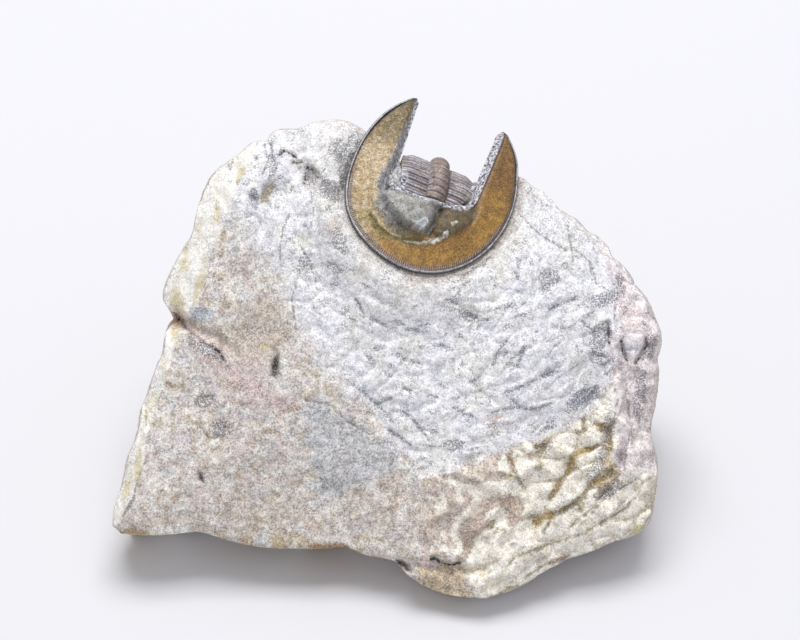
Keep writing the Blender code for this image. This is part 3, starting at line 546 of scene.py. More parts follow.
def shape_block(obj):
    """Gives the block its broken walls, ledges, steps, furrows and pits."""
    points, normals = points_of(obj), normals_of(obj)
    u, v, w = world_to_face(points).T
    front = smooth((normals @ W - 0.35) / 0.35)
    wall = 1.0 - front
    local = world_to_fossil(points)
    near = rim_share(local)
    bed = (1.0 - smooth((near - BED_NEAR) / BED_FADE)) * (local[:, 2] > -7.5)
    quiet = 1.0 - np.maximum(bed, np.where(under_body(local, 2.0, -4), 1.0, 0.0))

    lift = 0.9 * perlin(points, 17.0, 1) + 0.45 * perlin(points, 7.0, 2)
    lift += 0.30 * perlin(points, 3.2, 3) * (0.5 + wall)
    # bedding: here and there the walls step in and out along planes parallel to the face
    beds = w + 1.6 * perlin(points, 19.0, 4) + 1.8 * np.sin(w / 3.7) * np.sin(w / 8.3 + 1.0)
    patchy = smooth(0.5 + 1.6 * perlin(points, 16.0, 8))
    part = steps(beds, THICK_BED)
    lift += wall * patchy * 0.95 * (smooth(part / 0.22) - smooth((part - 0.5) / 0.5) - 0.5)
    part = steps(beds, THIN_BED)
    lift += wall * (1 - 0.6 * patchy) * 0.28 * (smooth(part / 0.3) - part)
    # fracture facets bitten out of the walls
    bite = np.array([noise.voronoi(Vector(p) / 15.0)[0][0] for p in points])
    lift += wall * 3.0 * (bite - 0.45)
    # lumpy lower right of the face, with burrow-like ridges
    under = below_worked(u, v)
    lumpy = smooth((under + 0.5) / 2.5) * smooth((u - 2.0) / 6.0) * front
    lift += lumpy * (0.75 - 2.6 * np.minimum(np.abs(perlin(points, 5.2, 6)), 0.42))
    # the natural skin stands a little above the worked part
    ragged = under + 1.5 * perlin(points, 6.0, 9)
    lift += front * 0.55 * smooth(ragged / 1.8) * smooth((u + 14.0) / 12.0)
    # shallow scoops left by the tool
    scoop = np.abs(perlin(points, 4.1, 7))
    lift -= front * (1 - smooth(under / 1.6)) * 0.35 * (1 - smooth(scoop / 0.25))
    # the crack of the left notch, crevice and pit of the upper left, the crack over the low lobe
    for line, deep, wide, where in ((NOTCH_CRACK, 1.5, 1.1, smooth((-27 - u) / 8.0)),
                                    (CREVICE, 1.3, 1.2, front), (LOBE_CRACK, 1.1, 0.9, 1.0)):
        lift -= deep * bell(segment_distance(u, v, line), wide) * where
    pit = np.hypot((u - PIT_AT[0]) / PIT_HALF[0], (v - PIT_AT[1]) / PIT_HALF[1])
    lift -= 0.9 * bell(pit, 1.0) * front
    moved = points + normals * (lift * quiet)[:, None]
    far, _, edge = against_outline(moved)
    moved = draw_in(moved, far, np.maximum(far - edge, 0.0) * quiet * 0.9)

    # round the head the face follows the fossil's own plane
    aim = np.clip(BED_LEVEL - local[:, 2], -3.5, 3.5)
    pull = bed * front * (local[:, 1] < 9.0) * smooth((local[:, 2] + 7.5) / 2.0)
    moved = moved + FOSSIL_AXES[2] * (aim * pull * (near > 0.9))[:, None]
    # a shallow worn band just outside the rim
    moat = bell(near - 1.10, 0.05) * front * (local[:, 2] > -4)
    put_points(obj, moved - FOSSIL_AXES[2] * (0.25 * moat)[:, None])


def keep_largest(obj):
    """Leaves only the main body: crumbs that the cuts set free fall away."""
    work = bmesh.new()
    work.from_mesh(obj.data)
    bmesh.ops.remove_doubles(work, verts=work.verts, dist=2e-6)
    found, groups = set(), []
    for start in work.verts:
        if start in found:
            continue
        stack, group = [start], []
        found.add(start)
        while stack:
            vert = stack.pop()
            group.append(vert)
            for edge in vert.link_edges:
                other = edge.other_vert(vert)
                if other not in found:
                    found.add(other)
                    stack.append(other)
        groups.append(group)
    groups.sort(key=len)
    for group in groups[:-1]:
        bmesh.ops.delete(work, geom=group, context="VERTS")
    bmesh.ops.triangulate(work, faces=work.faces)
    work.to_mesh(obj.data)
    work.free()


# ---- fine noise and colour ----
DRAW = np.random.default_rng(20)
LEAN = DRAW.normal(size=(256, 3))
LEAN /= np.linalg.norm(LEAN, axis=1)[:, None]
SHUFFLE = DRAW.permutation(256)


def fine(points, size, seed=0.0, stretch=(1.0, 1.0, 1.0)):
    """Gradient noise, about -0.7 to 0.7, for many points at once."""
    p = np.asarray(points, float) / size / np.array(stretch) + seed * np.array((17.31, 5.17, 9.73))
    cell = np.floor(p).astype(int)
    f = p - cell
    fade = f * f * f * (f * (f * 6 - 15) + 10)
    total = np.zeros(len(p))
    for corner in itertools.product((0, 1), repeat=3):
        c = (cell + corner) & 255
        pick = SHUFFLE[(SHUFFLE[(SHUFFLE[c[:, 0]] + c[:, 1]) & 255] + c[:, 2]) & 255]
        share = np.prod(np.where(np.array(corner) == 1, fade, 1 - fade), axis=1)
        total += share * ((f - corner) * LEAN[pick]).sum(axis=1)
    return total


def colour(r, g, b):
    """A colour given as a screen shows it, 0 to 255, made linear."""
    c = np.array((r, g, b)) / 255.0
    return np.where(c <= 0.04045, c / 12.92, ((c + 0.055) / 1.055) ** 2.4)


class Paint:
    """A colour for each point, laid on in coats."""

    def __init__(self, points, tone, *coats):
        self.points = points
        self.tint = np.tile(colour(*tone), (len(points), 1))
        self.area(1.0, *coats)

    def lay(self, share, tint):
        self.tint += (tint - self.tint) * np.clip(share, 0.0, 1.0)[:, None]

    def area(self, mask, *coats):
        """Coats over one area: each a share, a colour and, where it is broken up, its patches."""
        for share, tone, *patches in coats:
            self.lay(share * mask * self.patches(*patches), colour(*tone))

    def patches(self, size=None, seed=0, gain=2.4, bias=0.0, stretch=(1, 1, 1)):
        """1 in patches of noise: a larger gain sharpens them, the bias spreads them."""
        if size is None:
            return 1.0
        return smooth(fine(self.points, size, seed, stretch) * gain + 0.5 + bias)


def give(obj, name, values):
    """Stores a colour, or up to three numbers, for each point, for the material to read."""
    values = np.asarray(values, np.float32)
    flat = np.ones((len(values), 4), np.float32)
    flat[:, : values.shape[1]] = values
    attribute = obj.data.attributes.new(name, "FLOAT_COLOR", "POINT")
    attribute.data.foreach_set("color", flat.ravel())


# ---- the fine head ----
HEAD_STATIONS = 1040
ACROSS_RIM, ACROSS_BRIM, ACROSS_MIDDLE = 18, 26, 34  # stations of each part, from rim to inner edge
RIM_BAND = 1.4  # width of the part with close stations
TIP_FROM, TIP_DROP = 115, 0.25  # the prolongations get lower from this angle on, by this share
PIT_PITCH = 0.41  # the row of pits just inside the rim
PIT_ROW, CORD, CORD_FURROW = 0.98, 0.24, 0.50  # their distances from the rim
OLIVE_GROOVE = [(-8.5, -11.2), (-6.7, -12.9), (-4.1, -13.5), (-1.1, -13.3), (1.2, -12.3)]
OLIVE_EDGE = [(-8.1, -10.4), (-6.5, -12.1), (-4.1, -13.0), (-2.3, -13.0)]
# stone left in front of the dome, a thin crescent that thickens to the right
CRESCENT = [(-1.9, -13.4), (0.1, -13.5), (2.4, -12.8), (4.4, -11.5), (5.5, -10.0), (5.1, -9.2),
            (3.9, -10.7), (2.2, -12.2), (0.0, -13.0)]
LAST_CRUMB = [(5.3, -7.9), (5.9, -7.3)]
CHIP = [(-1.0, -12.2), (-0.2, -11.1), (0.6, -9.6)]  # pale scar at the front of the dome
CHEEK_LINE = [(1.4, -5.6), (1.2, -8.6)]
SIDE_LUMP = (3.7, -10.4), (1.2, 0.8), 0.35
CHALK_EDGE = 1.35  # width of the crumbly bevel inside the right prolongation
# width of the grey roll inside the left prolongation, by how far back it is
ROLL_AT = (-12.0, -9.0, -4.8, -2.0, 2.0, 8.0, 13.0)
ROLL_WIDTH = (0.4, 1.3, 2.3, 2.5, 2.0, 1.4, 0.9)
END_TURNS = (12, 24, 36, 48, 58, 67, 75, 82)  # degrees round the rounded end of a prolongation
END_REACH = 0.95


def forward(y):
    """0 on the prolongations, 1 round the front, where the pits are largest."""
    return smooth((-y - 1.0) / 5.0)


def pit_beat(p, along):
    """1 in the middle of each pit of the row, 0 between two."""
    return (0.5 + 0.5 * np.cos(2 * math.pi * along / PIT_PITCH + 1.1 * fine(p, 2.0, 6))) ** 1.5


def crumbs(x, y):
    """How far inside the crescent of stone left in front of the dome, or its last crumb: mm."""
    return np.maximum(depth_inside(x, y, CRESCENT), 0.25 - segment_distance(x, y, LAST_CRUMB))


def right_bevel(x, y, from_inner):
    return smooth((CHALK_EDGE - from_inner) / 0.2) * (x > 0) * smooth((y - POSTERIOR_Y + 0.6) / 1.2)


def fine_head_height(x, y, from_rim, from_inner, along):
    """The head's height with what is too fine for the solid; along is the way round the rim."""
    z = head_height(x, y, from_rim, from_inner)
    p = np.column_stack((x, y, np.zeros(len(x))))
    bumps = mound(x, y, SIDE_LUMP) + 0.10 * fine(p, 2.3, 3) + 0.05 * fine(p, 0.9, 4)
    z += crown_share(x, y) * bumps
    z += 0.14 * fine(p, 0.45, 5) * smooth((1.0 - from_inner) / 0.5) * (y < POSTERIOR_Y + 3.5)
    # rim: a cord, a narrow furrow, and the row of pits
    z -= 0.30 * bell(from_rim - CORD_FURROW, 0.13)
    z += 0.05 * bell(from_rim - CORD, 0.12)
    low, beat = forward(y), pit_beat(p, along)
    z -= 0.17 * (0.35 + 0.65 * low) * bell(from_rim - PIT_ROW, 0.22) * beat
    z -= 0.05 * low * bell(from_rim - 1.6, 0.5) * beat
    # granular brim
    brim = smooth((girder(x, y) - 1.0) / 0.04) * smooth((from_rim - 0.7) / 0.4)
    brim *= smooth(from_inner / 1.2)
    z += brim * (0.06 * fine(p, 0.42, 7) + 0.05 * fine(p, 0.9, 8) + 0.10 * fine(p, 3.4, 9))
    z -= 0.34 * bell(segment_distance(x, y, OLIVE_GROOVE), 0.42) * (1 + fine(p, 1.0, 140))
    z += 0.14 * smooth(crumbs(x, y) / 0.2 + 0.3) * (1 + 1.6 * fine(p, 0.7, 10))
    # the crumbly bevel inside the right prolongation
    z += right_bevel(x, y, from_inner) * (0.16 * fine(p, 0.5, 11) + 0.05)
    return z - 0.22 * bell(from_inner - CHALK_EDGE - 0.1, 0.14) * arm_share(y) * (x > 0)


def paint_brim(paint, h):
    """Pale tan on the left, olive brown up that side, amber in front and on the right."""
    x, y, e = h.x, h.y, h.e
    paint.area(1.0, (0.7, (170, 140, 98), 1.4, 212, 2.2),
               (0.6, (206, 192, 168), 0.8, 213, 2.6, -0.15))
    up_left = (1 - h.right) * smooth((y - 1.0) / 6.0)
    paint.area(up_left, (0.9, (112, 94, 60)), (0.7, (98, 86, 54), 1.6, 141, 2.4),
               (0.5, (166, 146, 104), 1.0, 183, 2.8, -0.4))
    paint.area(up_left * smooth((y - 8.0) / 4.0), (0.5, (104, 92, 60)))
    lower_left = (1 - h.right) * smooth((-y - 8.0) / 4.0)
    paint.area(lower_left, (0.6, (150, 132, 76), 1.3, 142, 2.4))
    paint.area(h.amber, (1.0, (160, 120, 56)), (0.7, (178, 136, 62), 1.6, 143, 2.4),
               (0.55, (124, 92, 46), 1.3, 14, 2.6, -0.1))
    paint.area(h.right * smooth((y + 0.5) / 5.0), (0.5, (118, 84, 46)),
               (0.5, (86, 64, 42), 1.1, 184, 2.6, -0.2))
    paint.area(smooth((2.3 - h.from_rim) / 1.5) * h.amber, (0.45, (132, 100, 62)))
    paint.area(smooth((1.35 - e) / 0.3) * h.right, (0.30, (128, 92, 50)))
    # a dark skirt between the dome and the olive groove
    skirt = smooth((1.19 - e + 0.06 * fine(h.p, 1.0, 194)) / 0.05)
    skirt *= smooth((-y - 7.5) / 2) * smooth((-x - 0.5) / 2)
    paint.area(skirt, (0.85, (108, 104, 92)), (0.6, (150, 150, 148), 0.7, 195, 3.0, -0.3))


def paint_crown(paint, h):
    """Glabella and cheeks: grey-olive and finely mottled, the right cheek brown."""
    x, y = h.x, h.y
    crown = Paint(h.p, (162, 161, 156), (0.75, (122, 122, 112), 1.2, 15, 2.2, -0.05),
                  (0.55, (176, 178, 178), 0.9, 16, 2.4, -0.1))
    dome = mound(x, y, (*DOME[:2], 1.0))
    crown.area(smooth((0.75 - dome) / 0.6), (0.5, (110, 110, 108)))
    crown.area(smooth((x - 2.2) / 0.8), (0.95, (90, 76, 48)), (0.6, (128, 106, 78), 1.2, 17, 2.5),
               (0.5, (84, 78, 58), 1.0, 144, 2.5, -0.2))
    crown.area(bell(segment_distance(x, y, CHEEK_LINE), 0.9), (0.5, (116, 102, 104)))
    # painted shade: dark in the furrow along the dome's right side
    crown.area(bell(segment_distance(x, y, SIDE_FURROW), 0.38), (0.65, (62, 62, 46)))
    chip = segment_distance(x, y, CHIP) + 0.4 * fine(h.p, 0.9, 170)
    crown.area(bell(chip, 0.6), (0.8, (182, 186, 194)))
    crown.area(bell(chip - 0.5, 0.14), (0.9, (226, 228, 232)))
    paint.lay(h.within, crown.tint)


def paint_grooves(paint, h):
    """The dark edge of the dome, the olive groove in front of it, and the grey roll on its left."""
    x, y, e, p = h.x, h.y, h.e, h.p
    paint.area(bell(e - 0.975, 0.035) * (y < POSTERIOR_Y + 1.0) * (x < 1.0), (0.55, (70, 70, 70)))
    dashes = bell(e - 1.03, 0.03) * (x < -5.0) * (y > -9.5) * smooth(fine(p, 0.5, 145) * 5)
    paint.area(dashes * smooth((1.0 - y) / 2.0), (0.8, (214, 212, 212)))
    groove = smooth((0.95 - segment_distance(x, y, OLIVE_GROOVE) + 0.5 * fine(p, 0.8, 146)) / 0.7)
    paint.area(groove, (0.85, (104, 96, 48)))
    paint.area(bell(segment_distance(x, y, OLIVE_EDGE), 0.14), (0.85, (214, 204, 170)))
    past_girder = np.where(e < 1.02, (1.02 - e) * GIRDER_X, 9.0) + 4.0 * smooth((y + 4.0) / 4.0)
    inward = np.minimum(h.from_inner, past_girder)
    roll = smooth((np.interp(y, ROLL_AT, ROLL_WIDTH) - inward + 0.35 * fine(p, 1.2, 18)) / 0.5)
    paint.area(roll * (x < -4.0), (0.85, (158, 158, 162)),
               (0.7, (104, 104, 106), 0.9, 147, 2.4, -0.1))


def paint_stone_left(paint, h):
    """Stone left on the front, and the dark lines round it, those along the prolongations' inner
    edges painted shadow; returns the shares of chalky crumb.
    """
    x, y, from_inner = h.x, h.y, h.from_inner

    def band(wide, ragged, size, seed, fade):
        return smooth((wide + ragged * fine(h.p, size, seed) - from_inner) / fade)

    border = band(0.75, 0.5, 0.8, 19, 0.25) * (y < POSTERIOR_Y + 3.5) * (1 - 0.55 * bell(h.m, 1.6))
    bevel = right_bevel(x, y, from_inner) * (x > 3.0)
    corner = band(0.9, 0.5, 0.7, 148, 0.3) * (x < -4.6) * smooth((2.4 - y) / 1.5)
    tips = band(0.7, 0.3, 0.8, 202, 0.2) * smooth((y - 2.0) / 3.0) * (x < 0)
    ends = smooth((y - 12.4) / 0.6) * smooth((1.2 - from_inner) / 0.5)
    patch = crumbs(x, y) + 0.5 * fine(h.p, 0.9, 171)
    paint.area(smooth(patch / 0.2 + 0.4), (0.85, (172, 167, 148)),
               (0.8, (220, 221, 218), 0.6, 186, 4.0, -0.2))
    # painted shadow: a dark line along the inner edge of the left prolongation
    seam = bell(from_inner - 0.85 - 0.3 * fine(h.p, 0.9, 187), 0.10) * (x < -3.4)
    paint.area(seam * smooth((1.0 - y) / 1.0), (0.75, (52, 50, 54)))
    # painted shadow: a dark line in the groove inside the crumbly bevel of the right prolongation
    line = bell(from_inner - CHALK_EDGE - 0.15, 0.20) * (x > 3.0) * smooth((y + 3.5) / 1.0)
    paint.area(line, (0.8, (56, 50, 48)))
    paint.area(bell(patch + 0.16, 0.10) * (y < -9.0), (0.75, (84, 70, 50)))
    return np.maximum.reduce((border, bevel, 0.9 * corner, 0.9 * tips, 0.8 * ends))


def paint_rim(paint, h):
    """Dark outside and in a furrow, partly the rim's own colour and partly painted shade, with a
    pale cord between them, then the row of purple-black pits.
    """
    # the dark base colour, outside and in the furrow, is partly painted shade
    rim = Paint(h.p, (66, 66, 74))
    cord = bell(h.from_rim - 0.22, 0.12) * (0.85 + 0.9 * fine(h.p, 0.8, 20))
    rim.area(cord, (1.0, (210, 211, 216)))
    paint.lay(smooth((0.66 - h.from_rim) / 0.10), rim.tint)
    row, beat, low = bell(h.from_rim - PIT_ROW, 0.28), pit_beat(h.p, h.along), forward(h.y)
    paint.area((0.25 + 0.75 * beat) * row * (0.35 + 0.6 * low), (1.0, (48, 36, 54)))
    paint.area((1 - beat) * row * low, (0.6, (190, 182, 188)))


def paint_head(head, x, y, from_rim, from_inner, along):
    right = smooth((x + 5.0) / 8.0)
    front = smooth((-y - 10.0) / 5.0) * smooth((x + 9.0) / 6.0)
    h = SimpleNamespace(x=x, y=y, from_rim=from_rim, from_inner=from_inner, along=along,
                        p=np.column_stack((x, y, np.zeros(len(x)))), e=girder(x, y),
                        m=midline(x, y), within=crown_share(x, y),
                        right=right, amber=np.maximum(right, 0.9 * front))
    paint = Paint(h.p, (182, 160, 122))
    paint_brim(paint, h)
    paint_crown(paint, h)
    paint_grooves(paint, h)
    chalk = paint_stone_left(paint, h)
    paint_rim(paint, h)
    give(head, "tint", paint.tint)
    speck = 0.60 + 0.40 * (1 - h.amber) - 0.15 * h.within
    gloss = 0.35 + 0.4 * h.amber * (1 - h.within)
    give(head, "zones", np.column_stack((chalk, speck, gloss)))


def with_underside(flat):
    """Facts of a ring's upper points, repeated for the three points of its underside."""
    return np.concatenate((flat, flat[[-1, len(flat) // 2, 0]]))


def make_fine_head(collection):
    top = math.radians(ARM_END)
    turns = np.linspace(-1.0, 1.0, HEAD_STATIONS)
    outline = np.array([rim_point(top * t) for t in turns])
    run = np.concatenate(((0.0,), np.cumsum(np.linalg.norm(np.diff(outline, axis=0), axis=1))))
    rings, facts = [], []
    for t, along in zip(turns, run):
        outer, inner = rim_point(top * t), inner_point(top * t)
        share, span = girder_share(outer, inner)
        close = min(RIM_BAND, 0.35 * span)
        mid = max(share * span, close + 0.1)
        d = np.concatenate((np.linspace(0, close, ACROSS_RIM),
                            np.linspace(close, mid, ACROSS_BRIM)[1:],
                            np.linspace(mid, span, ACROSS_MIDDLE)[1:]))
        plan = outer + (inner - outer) * (d / span)[:, None]
        z = fine_head_height(plan[:, 0], plan[:, 1], d, span - d, np.full(len(d), along))
        z = z * (1.0 - TIP_DROP * smooth((abs(ARM_END * t) - TIP_FROM) / (ARM_END - TIP_FROM)))
        lower = [(*inner, 0.0), (*(0.5 * (inner + outer)), 0.0), (*outer, 0.0)]
        rings.append(np.concatenate((np.column_stack((plan, z)), lower)))
        facts.append(with_underside(np.column_stack((plan, d, span - d, np.full(len(d), along)))))
    before, after = rounded_end(rings[0], 1), rounded_end(rings[-1], -1)
    facts = [facts[0]] * len(before) + facts + [facts[-1]] * len(after)
    head = lofted("fine_head", before[::-1] + rings + after, collection)
    paint_head(head, *np.concatenate(facts).T)
    return head


def rounded_end(last, side):
    """Rings that close a prolongation with a rounded point, past its last ring."""
    chord = last[-4] - last[0]
    way = side * unit((-chord[1], chord[0], 0.0))
    mid = last[[0, -4, -3, -1]].mean(axis=0)
    rings = []
    for turn in np.radians(END_TURNS):
        size = math.cos(turn)
        small = mid + (last - mid) * size + way * END_REACH * math.sin(turn)
        small[:, 2] = mid[2] + (last[:, 2] - mid[2]) * (0.4 + 0.6 * size)
        rings.append(small)
    return rings


# ---- the fine body ----
PER_SEGMENT = 12
RIB_SPLIT = 0.52  # place of the groove along each rib, as a share of the segment
AXIS_EDGE = 0.31  # where across the body the furrow beside the axis runs
TAIL_SHIELD = 3.0  # length of the fused tail


def fine_across():
    """Stations across the body, close together over the axis and at its edges."""
    half = np.concatenate((np.linspace(0, 0.25, 15), np.linspace(0.26, 0.34, 7),
                           np.linspace(0.37, 0.90, 20), np.linspace(0.915, 1.0, 7)))
    return np.concatenate((-half[:0:-1], half))


def make_fine_body(collection):
    across = fine_across()
    rings, facts = [], []
    for s in np.arange(0.0, BODY_LENGTH - 0.12, SEGMENT / PER_SEGMENT):
        phase = s / SEGMENT - math.floor(s / SEGMENT + 1e-6)
        shield = smooth((s - (BODY_LENGTH - TAIL_SHIELD) + 0.6) / 0.8)
        rib = 1.25 * (1 - abs(2 * phase - 1) ** 4) * RIB_HEIGHT
        split = 0.5 * RIB_HEIGHT * bell(phase - RIB_SPLIT, 0.10)
        on_side = smooth((np.abs(across) - AXIS_EDGE) / 0.06)
        bulge = rib * (0.7 + 0.3 * on_side)
        bulge -= split * on_side * smooth((1.02 - np.abs(across)) / 0.2)
        rings.append(body_ring(s, across, bulge * (1 - 0.75 * shield)))
        same = np.ones(len(across))
        fact = np.column_stack((across, s * same, phase * same, shield * same))
        facts.append(with_underside(fact))
    points, faces = loft(rings)
    points[:, 2] += 0.05 * fine(points, 0.7, 31) + 0.04 * fine(points, 0.35, 32)
    body = new_object("fine_body", fossil_to_world(points), faces, collection)
    paint_body(body, points, *np.concatenate(facts).T)
    return body


def paint_body(body, points, f, s, phase, shield):
    paint = Paint(points, (166, 161, 169), (0.8, (196, 190, 196), 0.9, 33, 2.6, 0.0, (3, 1, 1)),
                  (0.8, (122, 110, 116), 1.1, 34, 2.6, 0.0, (3, 1, 1)),
                  (0.45, (152, 142, 112), 2.2, 35, 2.6, -0.3))
    axis = smooth((AXIS_EDGE - f) / 0.03) * smooth((f + AXIS_EDGE) / 0.16)
    paint.area(axis, (0.9, (140, 124, 118)), (0.7, (176, 160, 154), 0.7, 36, 2.4, -0.1, (2, 1, 1)),
               (0.6, (112, 94, 88), 0.5, 172, 2.4, -0.2, (3, 1, 1)))
    # painted shade: the right side of the axis darker
    paint.area(axis * smooth((f + 0.02) / 0.26), (0.55, (96, 80, 76)))
    # dark seams between the segments, the dark split of each rib, and a pale band by each rib's
    # crest that is a painted highlight
    seam = bell(np.minimum(phase, 1 - phase), 0.09) * (1 - 0.6 * shield) * (1 - 0.2 * axis)
    paint.area(seam, (0.85, (78, 66, 72)))
    ribs = (1 - axis) * (1 - shield)
    paint.area(bell(phase - RIB_SPLIT, 0.08) * ribs, (0.75, (84, 72, 78)))
    paint.area(bell(phase - 0.27, 0.06) * ribs, (0.4, (216, 210, 220)))
    # dark furrows beside the axis, partly painted shade, which makes the right one much darker than
    # the left
    furrows = 0.8 * bell(f - AXIS_EDGE, 0.035) + 0.25 * bell(f + AXIS_EDGE, 0.025)
    paint.area(furrows, (1.0, (66, 54, 54)))
    give(body, "tint", paint.tint)
    chalk = smooth((-0.80 - f) / 0.1) * smooth((5.0 - s) / 3.0)
    same = np.ones(len(f))
    give(body, "zones", np.column_stack((chalk, 0.7 * same, 0.4 * same)))


# ---- places read off the photograph ----
PIXEL = 0.18  # mm of the picture plane for each pixel of the photograph
PICTURE_MID = (400, 320)


def seen(*places):
    """Places read off the photograph, as mm across and up from the middle of the picture."""
    return [((x - PICTURE_MID[0]) * PIXEL, (PICTURE_MID[1] - y) * PIXEL) for x, y in places]


def ways(*lines):
    return [seen(*places) for places in lines]


def bands(*table):
    """Lines with a half width in mm, which comes first."""
    return [(wide, seen(*places)) for wide, *places in table]


# ---- places and sizes of the fine block ----
COARSE_GRAIN, FINE_GRAIN = 0.8, 0.34  # voxels, mm
MOST_TRIANGLES = 196000
BED_DEPTH = 9.0  # how far the stone bed reaches down under the body
SHIELD_SHARE, SHIELD_BED, SHIELD_TOP = 0.982, 0.1, 7.0  # inside the rim stone stays below its bed
SPARED_HALF, SPARED_FROM = 7.6, -5.2  # but not in the opening between the prolongations
RIM_TO_MM = 16.0  # mm for each share of the distance from the middle of the head to its rim
FLAKY_BED = 0.9  # thickness of the thin beds of the walls
# the tool's flakes: their width, their length, and how far from the fossil the length is right
FLAKE_WIDTH, FLAKE_LENGTH, FLAKE_REACH = 1.7, 4.6, 30.0
WORK_CENTRE = (430, 180)  # the preparator worked round the fossil
# bumps and nicks of the outline: direction and half width in degrees, and height in mm
NICKS = [
    (-177, 6, -1.0), (-164, 4, -1.0), (-156, 4, 1.7), (-39, 2, 0.3), (-36, 2, -0.5), (-17, 3, -0.9),
    (-7, 3, 0.5), (0, 2, -0.6), (17, 2, -0.5), (25.5, 2, -0.6), (34.5, 2, -0.7), (42, 4, -0.6),
    (53, 2, -0.4), (103, 4, 0.3), (114, 3, -0.7), (121.5, 1.5, -1.4), (128, 4, -0.5), (138, 3, 0.4),
    (149, 4, -1.0), (163, 4, 0.7), (170.5, 2, 1.1), (178, 3, -1.0),
]
# the cream burrow fill at the lower right, the tan hollows in it, and its branches to the left
CREAM = seen((460, 565), (470, 557), (475, 540), (482, 527), (490, 519), (500, 512), (509, 528),
             (519, 523), (525, 508), (517, 494), (521, 484), (512, 479), (500, 474), (498, 462),
             (506, 453), (503, 446), (514, 439), (532, 434), (560, 427), (585, 410), (600, 398),
             (616, 386), (664, 400), (664, 600), (480, 612), (477, 597), (468, 583))
TAN_HOLLOWS = ways(
    ((462, 528), (465, 520), (484, 514), (483, 524), (476, 537), (470, 556), (462, 559),
     (461, 542)),
    ((480, 507), (495, 499), (516, 494), (524, 508), (518, 523), (509, 528), (505, 519),
     (507, 508), (495, 507), (487, 513)), ((484, 524), (491, 522), (490, 530), (485, 530)),
    ((519, 449), (532, 454), (533, 461), (524, 459), (521, 453)),
    ((508, 450), (514, 452), (514, 466), (517, 476), (512, 474), (507, 462)),
)
WORMS = bands(  # half width in mm, then the way it runs
    (0.55, (449, 479), (458, 485), (469, 487), (474, 493), (480, 496), (474, 503), (469, 513),
     (458, 521), (454, 529), (455, 539), (461, 546), (456, 554), (446, 550), (437, 543)),
    (1.15, (478, 492), (490, 488), (507, 487), (520, 489)),
    (0.95, (493, 515), (500, 513), (501, 520), (499, 530)), (0.50, (466, 486), (476, 490)),
    (0.9, (441, 501), (440, 508)), (0.40, (428, 497), (440, 501), (446, 509)),
    (0.30, (424, 452), (428, 466)), (0.85, (445, 443), (452, 447), (448, 454)),
    (0.35, (462, 462), (466, 472)),
)
PETALS = [  # plates of burrow fill: middle in picture pixels, half length and width in mm, heading
    ((609, 405), 3.6, 1.5, 62), ((561, 447), 2.6, 1.7, 40), ((592, 439), 1.8, 1.0, 20),
    ((550, 470), 2.9, 1.5, 35), ((591, 456), 1.7, 0.7, 25), ((573, 487), 4.8, 1.5, 40),
    ((537, 497), 3.7, 2.1, 35), ((525, 467), 1.5, 1.2, 20), ((590, 503), 1.8, 0.9, 60),
    ((606, 507), 7.0, 1.4, 40), ((560, 526), 3.4, 1.5, 38), ((524, 533), 2.8, 1.4, 25),
    ((606, 529), 4.0, 1.2, 20), ((554, 547), 4.6, 1.1, 14), ((491, 549), 5.2, 2.4, 38),
    ((520, 564), 2.8, 1.2, 25), ((488, 578), 5.6, 2.4, 25), ((541, 527), 1.4, 0.7, 40),
    ((576, 411), 1.7, 0.9, -20), ((571, 424), 1.9, 1.0, 10), ((506, 545), 3.0, 1.4, 20),
    ((632, 505), 4.4, 1.2, 45), ((630, 480), 3.4, 1.4, 60), ((585, 545), 4.0, 0.8, 18),
    ((545, 565), 4.6, 1.0, 24), ((545, 436), 2.0, 0.8, 15), ((503, 461), 1.3, 1.4, 70),
    ((507, 488), 2.4, 1.0, 10), ((620, 437), 2.6, 1.0, 70), ((640, 455), 3.0, 1.0, 75),
    ((525, 448), 1.6, 0.8, 10), ((612, 547), 3.0, 0.9, 22), ((645, 522), 1.6, 0.9, 40),
]
# ochre spots among them
OCHRE = seen((542, 444), (539, 449), (604, 429), (609, 438), (609, 448), (586, 450), (574, 455),
             (568, 466), (576, 415), (537, 521), (546, 517), (555, 488), (597, 480))
SEAMS = bands(  # olive seams between the plates: half width in mm, then the way they run
    (0.16, (507, 566), (515, 558), (530, 552), (546, 545), (569, 538), (585, 534), (606, 521),
     (630, 505)), (0.14, (570, 528), (576, 520), (593, 512), (599, 505)),
    (0.14, (544, 532), (552, 517)), (0.14, (505, 530), (498, 529), (493, 535), (488, 539)),
    (0.14, (523, 579), (545, 564)),
    (0.50, (535, 523), (544, 518), (561, 511), (576, 503), (583, 497), (587, 489), (594, 482),
     (604, 478), (613, 471)),
    (0.42, (550, 498), (558, 485), (564, 479), (569, 470), (572, 458), (578, 453), (588, 450),
     (597, 445)), (0.50, (505, 444), (508, 456)),
    (0.25, (508, 456), (514, 468), (517, 478), (525, 488)),
    (0.60, (537, 446), (543, 445), (549, 436), (555, 427)), (0.40, (538, 468), (541, 464)),
    (0.45, (597, 424), (609, 429), (610, 449)), (0.70, (579, 500), (580, 508)),
    (0.35, (570, 412), (583, 418), (584, 432)),
)
